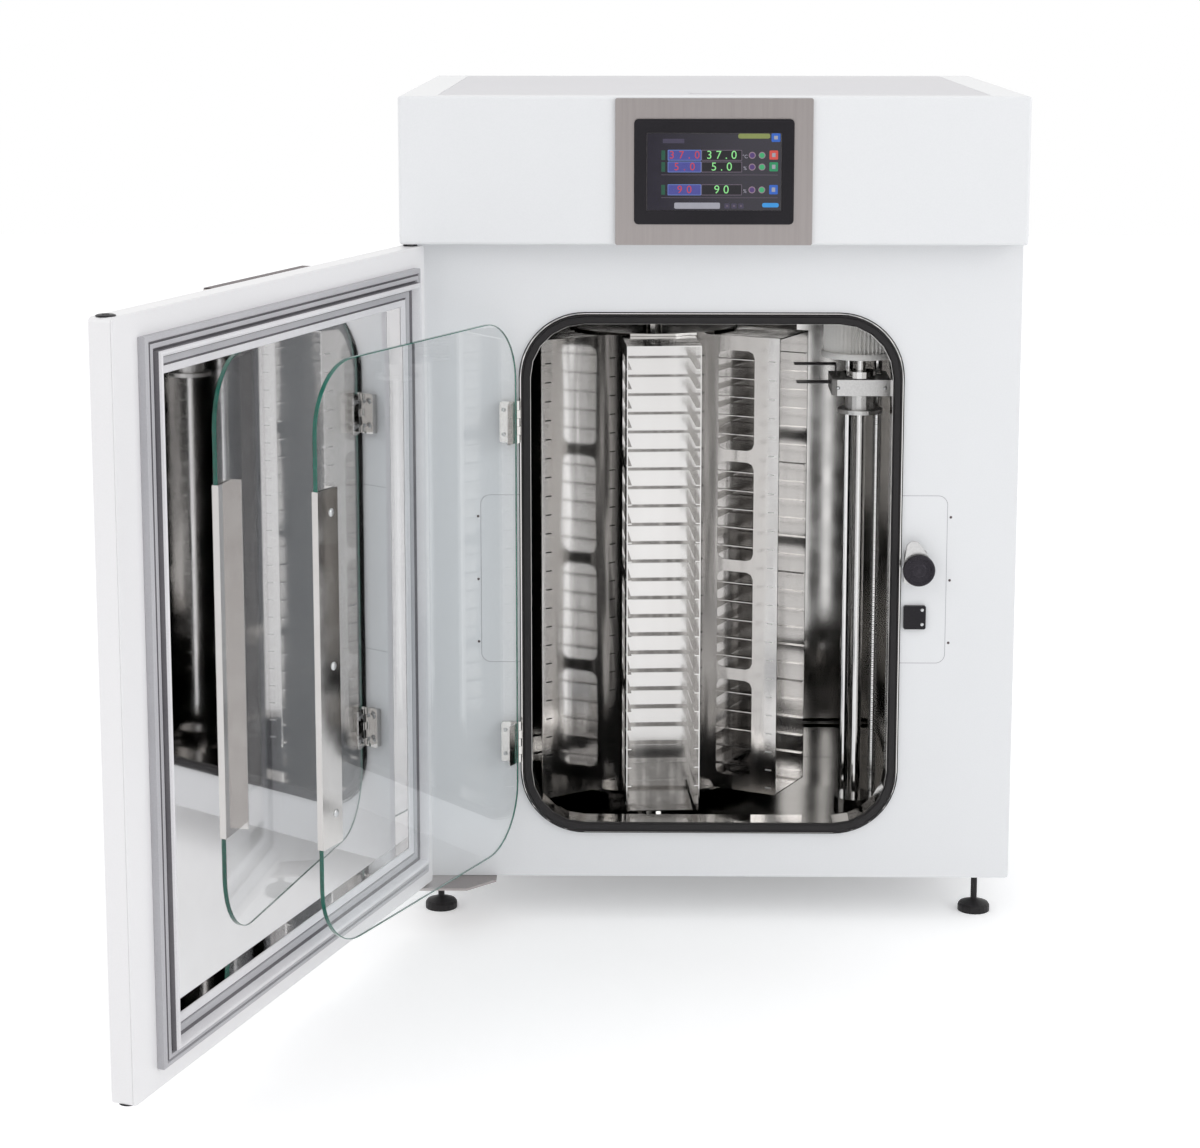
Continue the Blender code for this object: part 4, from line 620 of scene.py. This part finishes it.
field(drawing, 487, 823, 828, 868, 0.0016, 0, hue["pale"])
for u in (860, 912, 964):
    field(drawing, u, 828, u + 40, 866, 0.0012, 0, hue["icon"])
    disc(drawing, u + 20, 847, 0.0012, 1, hue["frame_grey"])
field(drawing, 1142, 825, 1265, 857, 0.0020, 0, hue["bright_blue"])
field(drawing, 400, 360, 560, 392, 0.0006, 0, hue["icon"])
piece("screen_fields", drawing, "cabinet", "screen_glass", *palette)


def digits(text, u, v, height, level, spread):
    """Digits cut from a thin film, centred on a place of the screen."""
    curve = bpy.data.curves.new("digits", "FONT")
    curve.body = text
    curve.align_x = "CENTER"
    curve.align_y = "CENTER"
    curve.size = height
    curve.space_character = spread
    host = bpy.data.objects.new("digits", curve)
    scene.collection.objects.link(host)
    bpy.context.view_layer.update()
    mesh = bpy.data.meshes.new_from_object(host.evaluated_get(bpy.context.evaluated_depsgraph_get()))
    bpy.data.objects.remove(host, do_unlink=True)
    x, z = on_screen(u, v)
    mesh.transform(Matrix.Translation((x, LEVELS[level], z)) @ Matrix.Rotation(math.radians(90), 4, "X"))
    return mesh


def joined(meshes):
    """Several meshes as one."""
    bm = bmesh.new()
    for mesh in meshes:
        bm.from_mesh(mesh)
    made = bpy.data.meshes.new("joined")
    bm.to_mesh(made)
    bm.free()
    return made


READINGS = (("37.0", 479), ("5.0", 564), ("90", 730))
UNITS = (("°C", 489), ("%", 574), ("%", 740))
for name, rows, column, height, spread, ink, colour, glow in (
        ("screen_set_values", READINGS, 562, 0.0126, 1.75, "digits_red", (0.58, 0.050, 0.075), 0.8),
        ("screen_measured_values", READINGS, 838, 0.0136, 1.60, "digits_green", (0.28, 0.78, 0.28), 0.85),
        ("screen_units", UNITS, 1012, 0.0058, 1.0, "digits_pale", (0.40, 0.38, 0.46), 0.8)):
    films = joined([digits(text, column, v, height, 2, spread) for text, v in rows])
    piece(name, films, "cabinet", "screen_glass", lit(ink, colour, glow))


# Rear fittings: a brass-lined gas inlet, a moulded mains inlet and the rubber bung of the sensor port,
# all pushed through the rear panel, which two columns of screws hold on.
BRASS = coat("plated_brass", (0.62, 0.50, 0.28), (0.74, 0.62, 0.38), (0.20, 0.32), broad=40.0, fine=700.0,
             relief=0.08, metallic=1.0)
GREY = coat("grey_seal", (0.440, 0.435, 0.458), (0.500, 0.495, 0.518), (0.45, 0.6), broad=12.0, fine=800.0,
            relief=0.12)
paint(BRASS, "gas_inlet")
paint(BLACK, "power_inlet")
paint(GREY, "access_port_stopper")
REAR_FACE = 0.5873
REAR_COLUMNS = (-0.350, 0.350)
REAR_HEIGHTS = (0.090, 0.270, 0.450, 0.630, 0.815)
rear_places = [(x, REAR_FACE, z) for x in REAR_COLUMNS for z in REAR_HEIGHTS]
rear_head = screw_head(0.0034, 0.0012, 0.0015)
rear_head.transform(Matrix.Rotation(math.radians(180), 4, "Z"))
repeated("rear_screws", rear_head, rear_places, "cabinet", "brushed_steel", ZINC)


# The outer door: an enamelled shell filled with foam, an inner frame round a recessed mirror-polished
# panel, and the magnetic gasket, whose four lengths are mitred and welded at the corners.
SATIN = coat("satin_aluminium", (0.54, 0.535, 0.53), (0.66, 0.655, 0.65), (0.26, 0.38), broad=8.0,
             fine=420.0, relief=0.10, metallic=1.0)
# The door's enamel is a lighter copy of the cabinet's: painted light on the open door's faces.
DOOR_ENAMEL_PAINTED_LIGHT = coat("door_enamel_painted_light", (0.840, 0.831, 0.840), (0.864, 0.855, 0.864), (0.30, 0.38), broad=2.5,
                   fine=650.0, relief=0.035, depth=0.00015, Coat_Weight=0.25, Coat_Roughness=0.12)
# A lighter copy of the gasket's grey, laid on its bulb and outer lip, is painted highlight.
SEAL_HIGHLIGHT = coat("painted_seal_highlight", (0.70, 0.69, 0.71), (0.78, 0.77, 0.79), (0.36, 0.48), broad=12.0,
                  fine=800.0, relief=0.08)
# A darker copy of the gasket's grey, laid in its grooves and creases, is painted shade.
SEAL_GROOVE_SHADE = coat("painted_seal_groove_shade", (0.110, 0.104, 0.116), (0.160, 0.152, 0.164), (0.5, 0.62), broad=12.0,
                 fine=800.0, relief=0.1)
paint(DOOR_ENAMEL_PAINTED_LIGHT, "outer_door_shell", "outer_door_frame")
DOOR_MIRROR = coat("mirror_panel", (0.775, 0.765, 0.768), (0.805, 0.797, 0.800), (0.012, 0.040), broad=2.0,
                   fine=18.0, relief=0.012, depth=0.0006, metallic=1.0)
paint(DOOR_MIRROR, "outer_door_panel")
paint(BLACK, "upper_hinge_bush", "lower_hinge_bush")
paint(BRUSHED, "door_foot_plate", "hinge_bracket")
paint(SATIN, "upper_hinge_pin")
SEAL_BACK = -0.0187
DOOR_SEAL_SECTION = [
    (0.0, SEAL_BACK, 0), (0.0, -0.0112, 0), (0.0012, -0.0102, 0), (0.0050, -0.0098, 0),
    (0.0060, -0.0116, 1), (0.0068, -0.0116, 1), (0.0078, -0.0098, 0), (0.0122, -0.0092, 0),
    (0.0134, -0.0120, 1), (0.0146, -0.0120, 1), (0.0154, -0.0050, 2), (0.0166, -0.0026, 2),
    (0.0184, -0.0018, 2), (0.0202, -0.0026, 2), (0.0214, -0.0050, 2), (0.0222, -0.0122, 1),
    (0.0234, -0.0128, 1), (0.0246, -0.0146, 0), (0.0308, -0.0156, 0), (0.0316, -0.0168, 1),
    (0.0324, -0.0168, 1), (0.0334, -0.0156, 2), (0.0405, -0.0166, 2), (0.0418, -0.0180, 2),
    (0.0418, SEAL_BACK, 2)]
DOOR_SEAL_BOX = (-0.3395, 0.0825, 0.3175, 0.8205)
door_seal = profiled_ring(*DOOR_SEAL_BOX, 0.0, DOOR_SEAL_SECTION)
piece("outer_door_gasket_detail", door_seal, "outer_door", "grey_seal", GREY, SEAL_GROOVE_SHADE, SEAL_HIGHLIGHT)
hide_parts("outer_door_gasket")

# A black plug closes the spare hinge hole at each end of the free edge, and stands proud by its cap.
PLUG_RADIUS = 0.0098
PLUG_PLACE = (0.354, -0.0315, 0.0)
PLUG_SHAPE = ((1.0, 0.0), (1.0, 0.0010), (0.8, 0.0018), (0.45, 0.0018), (0.4, 0.0012), (0.0, 0.0012))
for end, edge, way in (("top", 0.8445, 1.0), ("bottom", 0.0610, -1.0)):
    plug = turned([(share * PLUG_RADIUS, edge + way * proud) for share, proud in PLUG_SHAPE], PLUG_PLACE,
                  "Z", steps=28)
    piece(f"door_plug_{end}", plug, "outer_door", "black_plastic", BLACK)

# The end of the brushed band shows as a dark line along the door's top.
BAND_EDGE_BOX = (-0.1150, 0.8441, 0.1150, 0.8446)
BAND_DEPTH = (-0.0547, -0.0444)
band_edge = slab(rounded(*BAND_EDGE_BOX, 0.0), *BAND_DEPTH)
piece("door_band_top_edge", band_edge, "outer_door", "black_plastic", SCREW_BLACK)


# The glass door: a toughened pane with a green edge, a folded stainless handle along its free side
# held by three button screws, and two leaf hinges of interleaved knuckles.
GLASS = bpy.data.materials.new("clear_glass")
GLASS.use_nodes = True
tree = GLASS.node_tree
shader = tree.nodes["Principled BSDF"]
shader.inputs["Transmission Weight"].default_value = 1.0
shader.inputs["IOR"].default_value = 1.45
smudged = {"Broad Scale": 5.0, "Fine Scale": 30.0, "Rough Low": 0.0, "Rough High": 0.012, "Relief": 0.01,
           "Colour Low": (0.984, 0.996, 1.0, 1.0), "Colour High": (0.990, 0.999, 1.0, 1.0)}
smudge = node(tree, "ShaderNodeGroup", smudged, node_tree=GRAIN)
# The green shows where a ray meets the pane's rim, which is told by the distance from its middle plane.
PIVOT_AT_REST = (-0.1158162, 0.0463762, 0.0)
PANE_NORMAL = (math.sin(math.radians(GLASS_OPEN)), math.cos(math.radians(GLASS_OPEN)), 0.0)
RIM_DEPTHS = (0.00225, 0.00242)
place = node(tree, "ShaderNodeTexCoord")
offset = node(tree, "ShaderNodeVectorMath", {1: PIVOT_AT_REST}, operation="SUBTRACT")
across = node(tree, "ShaderNodeVectorMath", {1: PANE_NORMAL}, operation="DOT_PRODUCT")
wire(tree, (place, "Object", offset, 0), (offset, 0, across, 0))
depth = node(tree, "ShaderNodeMath", operation="ABSOLUTE")
wire(tree, (across, "Value", depth, 0))
edge = node(tree, "ShaderNodeMapRange", {"From Min": RIM_DEPTHS[0], "From Max": RIM_DEPTHS[1],
                                         "To Min": 1.0, "To Max": 0.0})
wire(tree, (depth, 0, edge, "Value"))
tint = node(tree, "ShaderNodeMix", {"B": (0.030, 0.380, 0.270, 1.0)}, data_type="RGBA")
wire(tree, (edge, "Result", tint, "Factor"), (smudge, "Colour", tint, "A"),
           (tint, "Result", shader, "Base Color"), (smudge, "Roughness", shader, "Roughness"),
           (smudge, "Normal", shader, "Normal"))
# Daylight passes through the pane on to what stands behind it.
passing = node(tree, "ShaderNodeBsdfTransparent", {"Color": (0.965, 0.985, 0.99, 1.0)})
kind = node(tree, "ShaderNodeLightPath")
soft = node(tree, "ShaderNodeMath", operation="MAXIMUM")
wire(tree, (kind, "Is Shadow Ray", soft, 0), (kind, "Is Diffuse Ray", soft, 1))
choose = node(tree, "ShaderNodeMixShader")
wire(tree, (soft, 0, choose, "Fac"), (shader, 0, choose, 1), (passing, 0, choose, 2),
           (choose, 0, tree.nodes["Material Output"], "Surface"))
paint(GLASS, "glass_pane")
paint(MIRROR, "glass_handle", "glass_hinge_leaf_upper", "glass_hinge_leaf_lower",
      "glass_hinge_mount_upper", "glass_hinge_mount_lower")
GLASS_GREEN = coat("glass_edge", (0.003, 0.092, 0.062), (0.008, 0.160, 0.115), (0.08, 0.16), broad=30.0,
                   fine=400.0, relief=0.05, Coat_Weight=0.5, Coat_Roughness=0.05)
GROUND_SECTION = [(-0.00015, -0.01300, 0), (-0.00015, -0.00860, 0), (0.0007, -0.00826, 0),
                  (0.0007, -0.01334, 0)]
PANE_BOX = (-0.2275, 0.1095, 0.2265, 0.7570)
PANE_CORNER = 0.075
ground = profiled_ring(*PANE_BOX, PANE_CORNER, GROUND_SECTION, steps=16)
piece("glass_pane_ground_edge", ground, "glass_door", "clear_glass", GLASS_GREEN)
HANDLE_SCREWS = [(0.2010, -0.0071, z) for z in (0.597, 0.429, 0.265)]
button = screw_head(0.0046, 0.0017, 0.0019)
button.transform(Matrix.Rotation(math.radians(180), 4, "Z"))
repeated("handle_screws", button, HANDLE_SCREWS, "glass_door", "polished_steel", ZINC)
LEAF_SCREWS = [z + dz for z in (0.630, 0.233) for dz in (-0.015, 0.015)]
WALL_LEAF = (-0.0080, (-0.2430, -0.2525))
GLASS_LEAF = (-0.0148, (-0.2240, -0.2145))
small = screw_head(0.0027, 0.0009, 0.0012)
repeated("hinge_screws_wall", small, [(x, WALL_LEAF[0], z) for x in WALL_LEAF[1] for z in LEAF_SCREWS],
         "cabinet", "polished_steel", ZINC)
repeated("hinge_screws_glass", small, [(x, GLASS_LEAF[0], z) for x in GLASS_LEAF[1] for z in LEAF_SCREWS],
         "glass_door", "polished_steel", ZINC)


# The cam latch: a black turned knob with fine rings on its face, on a satin cam that swings over the
# pane's edge, with a small black switch plate under it that feels the outer door.
paint(SATIN, "latch_cam", "latch_base")
paint(BLACK, "door_switch")
KNOB_CENTRE = (0.251, -0.0198, 0.452)
KNOB_RADIUS = 0.0195
knob = turned([(0.0, 0.0), (0.0180, 0.0), (KNOB_RADIUS, 0.0010), (KNOB_RADIUS, 0.0044), (0.0190, 0.0054),
               (0.0182, 0.0059), (0.0150, 0.0058), (0.0143, 0.0053), (0.0088, 0.0053), (0.0080, 0.0058),
               (0.0030, 0.0059), (0.0, 0.0060)], KNOB_CENTRE, steps=72)
KNOB_BLACK = coat("turned_black", (0.030, 0.027, 0.034), (0.046, 0.042, 0.050), (0.20, 0.30), broad=12.0,
                  fine=900.0, relief=0.05, metallic=0.85, Anisotropic=0.85)
tree = KNOB_BLACK.node_tree
round_the_axis = node(tree, "ShaderNodeTangent", direction_type="RADIAL", axis="Y")
wire(tree, (round_the_axis, 0, tree.nodes["Principled BSDF"], "Tangent"))
piece("latch_knob_turned", knob, "latch", "black_plastic", KNOB_BLACK, sharp=25.0)
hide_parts("latch_knob")


def ring_tree():
    """A Geometry Nodes tree for even rings of fine wire about one middle, each a step wider."""
    tree, get, put = geometry_tree("turned_rings", ("Rings", "Int", 6), ("Inner Radius", "Float", 0.003),
                                   ("Step", "Float", 0.001), ("Wire Radius", "Float", 0.0002))
    line = node(tree, "GeometryNodeMeshLine", {"Offset": (0.0, 0.0, 0.0)})
    number = node(tree, "GeometryNodeInputIndex")
    wide = node(tree, "ShaderNodeMath", operation="MULTIPLY_ADD")
    circle = node(tree, "GeometryNodeCurvePrimitiveCircle", {"Resolution": 64, "Radius": 1.0})
    section = node(tree, "GeometryNodeCurvePrimitiveCircle", {"Resolution": 6})
    copies = node(tree, "GeometryNodeInstanceOnPoints")
    real = node(tree, "GeometryNodeRealizeInstances")
    swept = node(tree, "GeometryNodeCurveToMesh")
    wire(tree, (get, "Rings", line, "Count"), (number, 0, wide, 0), (get, "Step", wide, 1),
               (get, "Inner Radius", wide, 2), (line, 0, copies, "Points"),
               (circle, "Curve", copies, "Instance"), (wide, 0, copies, "Scale"),
               (copies, "Instances", real, "Geometry"), (real, "Geometry", swept, "Curve"),
               (get, "Wire Radius", section, "Radius"), (section, "Curve", swept, "Profile Curve"))
    return end_tree(tree, get, put, swept, "Mesh")


RINGS = ring_tree()
RING_STEP = 0.0011
RING_WIRE = 0.00030
for part, count, inner, height in (("middle", 4, 0.0030, 0.0058), ("floor", 5, 0.0094, 0.0053),
                                   ("rim", 3, 0.0156, 0.0059)):
    rings = run_tree(RINGS, bpy.data.meshes.new("none"), Rings=count, Step=RING_STEP, Finish=KNOB_BLACK,
                     **{"Inner Radius": inner, "Wire Radius": RING_WIRE})
    rings.transform(Matrix.Translation(KNOB_CENTRE) @ Matrix.Rotation(math.radians(90), 4, "X")
                    @ Matrix.Translation((0.0, 0.0, height)))
    piece(f"latch_knob_rings_{part}", rings, "latch", "black_plastic")

SWITCH_SCREWS = [(0.2575, -0.0055, z) for z in (0.3810, 0.3990)]
repeated("door_switch_screws", screw_head(0.0020, 0.0007, 0.0009), SWITCH_SCREWS, "cabinet",
         "brushed_steel", ZINC)
# The black of the switch's holes below and of the hotels' slots is painted shade, the dark inside an open
# hole.
HOLE_SHADE = coat("painted_hole_shade", (0.004, 0.004, 0.004), (0.007, 0.007, 0.007), (0.7, 0.8))
HOLE_RADIUS = 0.0013
HOLE_DEPTH = (-0.00557, -0.0054)
hole_shades = bmesh.new()
for z in (0.3885, 0.3990):
    slab(arc(0.2475, z, HOLE_RADIUS, 0, 330, 11), *HOLE_DEPTH, bm=hole_shades)
piece("door_switch_holes", hole_shades, "cabinet", "black_plastic", HOLE_SHADE)


# The carousel: a polished disc and column that turn between a pedestal and a ceiling bearing, with six
# plate hotels folded from polished sheet. The ledges of each are pinned through slots punched in its walls.
HOTEL_STEEL = coat("hotel_steel", (0.640, 0.625, 0.612), (0.715, 0.703, 0.692), (0.09, 0.17), broad=2.6,
                   fine=24.0, relief=0.40, depth=0.0030, stretch=(1.0, 1.0, 0.10), metallic=1.0)
# The pinned ends of the ledges on the other wall are strips of a brighter copy of the hotel steel: painted
# highlight.
TAB_HIGHLIGHT = coat("painted_tab_highlight", (0.80, 0.80, 0.79), (0.88, 0.88, 0.87), (0.45, 0.6), fine=900.0, metallic=0.7)
paint(HOTEL_STEEL, *[f"plate_hotel_{k}" for k in range(1, 7)])
paint(MIRROR, "carousel_disc", "carousel_column", "carousel_pedestal", "carousel_top_bearing")
AXIS = Vector((-0.070, 0.262, 0.0))
HOTEL_COUNT = 6
FIRST_ANGLE = 4
FIRST_LEDGE = 0.1307
LEDGE_PITCH = 0.024
LEDGE_COUNT = 24
OUTER_FACE = 0.0460 + 0.00005
OUTER_PINS = 0.1885
INNER_PINS = 0.0925
REAR_PLACE = 0.0869
REAR_LEDGE = (0.0792, 0.0100, 0.0008)
LEDGE_EDGE = 0.0002
SLOT = (0.00012, 0.0085, 0.0015)
ledge_shape = bmesh.new()
bmesh.ops.create_cube(ledge_shape, size=1.0, matrix=Matrix.Diagonal((*REAR_LEDGE, 1.0)))
bmesh.ops.bevel(ledge_shape, geom=ledge_shape.edges[:], offset=LEDGE_EDGE, segments=1, affect="EDGES")
rear_ledge = as_mesh(ledge_shape, "rear_ledge")
slot_shape = bmesh.new()
bmesh.ops.create_cube(slot_shape, size=1.0, matrix=Matrix.Diagonal((*SLOT, 1.0)))
slot = as_mesh(slot_shape, "slot")
heights = [FIRST_LEDGE + step * LEDGE_PITCH for step in range(LEDGE_COUNT)]
for k in range(HOTEL_COUNT):
    angle = math.radians(FIRST_ANGLE + 360 / HOTEL_COUNT * k)
    turn = Matrix.Translation(AXIS) @ Matrix.Rotation(angle, 4, "Z")
    rears = [turn @ Vector((0.0, -REAR_PLACE, z)) for z in heights]
    tabs = [turn @ Vector((-OUTER_FACE, -OUTER_PINS, z)) for z in heights]
    # The slots in one wall are drawn as black strips: painted shade inside them.
    shaded_slots = [turn @ Vector((OUTER_FACE, -reach, z)) for z in heights for reach in (OUTER_PINS, INNER_PINS)]
    for name, shape, places, finish, coated in (
            ("hotel_rear_ledges", rear_ledge, rears, "polished_steel", HOTEL_STEEL),
            ("hotel_tabs", slot, tabs, "brushed_steel", TAB_HIGHLIGHT),
            ("hotel_slots", slot, shaded_slots, "black_plastic", HOLE_SHADE)):
        repeated(f"{name}_{k + 1}", shape.copy(), places, "carousel", finish, coated,
                 turn=(0.0, 0.0, angle))
HUB_SECTION = [(0.0285, 0.1135), (0.0300, 0.1150), (0.0300, 0.1195), (0.0285, 0.1210), (0.0135, 0.1215),
               (0.0135, 0.1135), (0.0285, 0.1135)]
piece("carousel_hub_collar", turned(HUB_SECTION, AXIS, "Z", steps=40), "carousel", "polished_steel", MIRROR)


# The plate lift: ground steel rods and a threaded screw between floor and ceiling, and a satin block that
# climbs them with its flanged bushing, a black transfer blade and a black hold-down finger.
GROUND = coat("ground_steel", (0.66, 0.655, 0.65), (0.74, 0.735, 0.73), (0.07, 0.14), broad=6.0, fine=400.0,
              relief=0.03, stretch=(1.0, 1.0, 0.2), metallic=1.0)
BLADE_BLACK = coat("black_anodised", (0.014, 0.012, 0.014), (0.024, 0.021, 0.024), (0.30, 0.42), broad=20.0,
                   fine=700.0, relief=0.08, metallic=0.4)
paint(GROUND, "lift_mast", "lift_rear_rod", "lift_screw")
paint(SATIN, "lift_carriage", "carriage_bushing")
paint(BLADE_BLACK, "transfer_blade", "hold_down_finger")


def thread_tree():
    """A Geometry Nodes tree that winds a thread's ridge about z."""
    tree, get, put = geometry_tree("wound_thread", ("Turns", "Float", 100.0), ("Radius", "Float", 0.005),
                                   ("Length", "Float", 0.5), ("Ridge Radius", "Float", 0.0006))
    path = node(tree, "GeometryNodeCurveSpiral", {"Resolution": 14})
    ridge = node(tree, "GeometryNodeCurvePrimitiveCircle", {"Resolution": 5})
    swept = node(tree, "GeometryNodeCurveToMesh", {"Fill Caps": True})
    wire(tree, (get, "Turns", path, "Rotations"), (get, "Radius", path, "Start Radius"),
               (get, "Radius", path, "End Radius"), (get, "Length", path, "Height"),
               (get, "Ridge Radius", ridge, "Radius"), (path, "Curve", swept, "Curve"),
               (ridge, "Curve", swept, "Profile Curve"))
    return end_tree(tree, get, put, swept, "Mesh")


THREAD_FOOT = (0.2105, 0.130, 0.118)
THREAD_LENGTH = 0.555
THREAD_PITCH = 0.0024
THREAD_RADIUS = 0.0050
RIDGE = 0.00055
thread = run_tree(thread_tree(), bpy.data.meshes.new("none"), Turns=THREAD_LENGTH / THREAD_PITCH,
                  Radius=THREAD_RADIUS, Length=THREAD_LENGTH, **{"Ridge Radius": RIDGE}, Finish=GROUND)
thread.transform(Matrix.Translation(THREAD_FOOT))
piece("lift_screw_thread", thread, "lift_screw", "brushed_steel", sharp=60.0)
BLOCK_SCREWS = [(x, 0.0850, 0.658) for x in (0.158, 0.216)]
repeated("lift_block_screws", screw_head(0.0024, 0.0018, 0.0012), BLOCK_SCREWS, "lift_carriage",
         "brushed_steel", ZINC)


# The air filter over the lift: white pleated paper between a moulded crown and a lip.
PAPER = coat("filter_paper", (0.90, 0.89, 0.87), (0.95, 0.94, 0.92), (0.6, 0.75), broad=30.0,
             fine=500.0, relief=0.3)
PLEAT_COUNT = 54
PLEAT_RADII = (0.0376, 0.0454)
PLEAT_LENGTH = 0.0785


def pleat_tree():
    """A Geometry Nodes tree that folds paper into a ring of pleats: a star grown into a prism."""
    tree, get, put = geometry_tree("pleats", ("Pleats", "Int", 60), ("Inner Radius", "Float", 0.04),
                                   ("Outer Radius", "Float", 0.045), ("Length", "Float", 0.08))
    star = node(tree, "GeometryNodeCurveStar")
    fill = node(tree, "GeometryNodeFillCurve")
    grow = node(tree, "GeometryNodeExtrudeMesh", {"Individual": False})
    under = node(tree, "GeometryNodeFlipFaces")
    both = node(tree, "GeometryNodeJoinGeometry")
    merge = node(tree, "GeometryNodeMergeByDistance", {"Distance": 0.00001})
    wire(tree, (get, "Pleats", star, "Points"), (get, "Inner Radius", star, "Inner Radius"),
               (get, "Outer Radius", star, "Outer Radius"), (star, "Curve", fill, "Curve"),
               (fill, "Mesh", grow, "Mesh"), (get, "Length", grow, "Offset Scale"),
               (fill, "Mesh", under, "Mesh"), (grow, "Mesh", both, "Geometry"),
               (under, "Mesh", both, "Geometry"), (both, "Geometry", merge, "Geometry"))
    return end_tree(tree, get, put, merge, "Geometry")


FILTER_MIDDLE = (0.187, 0.120, 0.0)
PLEAT_LOW = 0.7000
pleats = run_tree(pleat_tree(), bpy.data.meshes.new("none"), Pleats=PLEAT_COUNT, Length=PLEAT_LENGTH,
                  Finish=PAPER, **{"Inner Radius": PLEAT_RADII[0], "Outer Radius": PLEAT_RADII[1]})
pleats.transform(Matrix.Translation((FILTER_MIDDLE[0], FILTER_MIDDLE[1], PLEAT_LOW)))
piece("air_filter_pleats", pleats, "cabinet", "filter_paper", sharp=20.0)
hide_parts("air_filter")
FILTER_RIM = coat("filter_rim", (0.87, 0.86, 0.84), (0.91, 0.90, 0.88), (0.35, 0.5), broad=14.0,
                  fine=700.0, relief=0.08)
LIP_SECTION = [(0.0, 0.6932), (0.0465, 0.6932), (0.0480, 0.6945), (0.0480, 0.6995), (0.0470, 0.7010),
               (0.0, 0.7010)]
CROWN_SECTION = [(0.0, 0.7775), (0.0490, 0.7775), (0.0500, 0.7787), (0.0500, 0.7885), (0.0490, 0.7896),
                 (0.0, 0.7896)]
for end, section in (("lip", LIP_SECTION), ("crown", CROWN_SECTION)):
    piece(f"air_filter_{end}", turned(section, FILTER_MIDDLE, "Z", steps=64), "cabinet", "ivory_plastic",
          FILTER_RIM)


# The water pan: a long narrow tray of polished sheet on the chamber's floor behind the carousel.
paint(MIRROR, "water_pan")
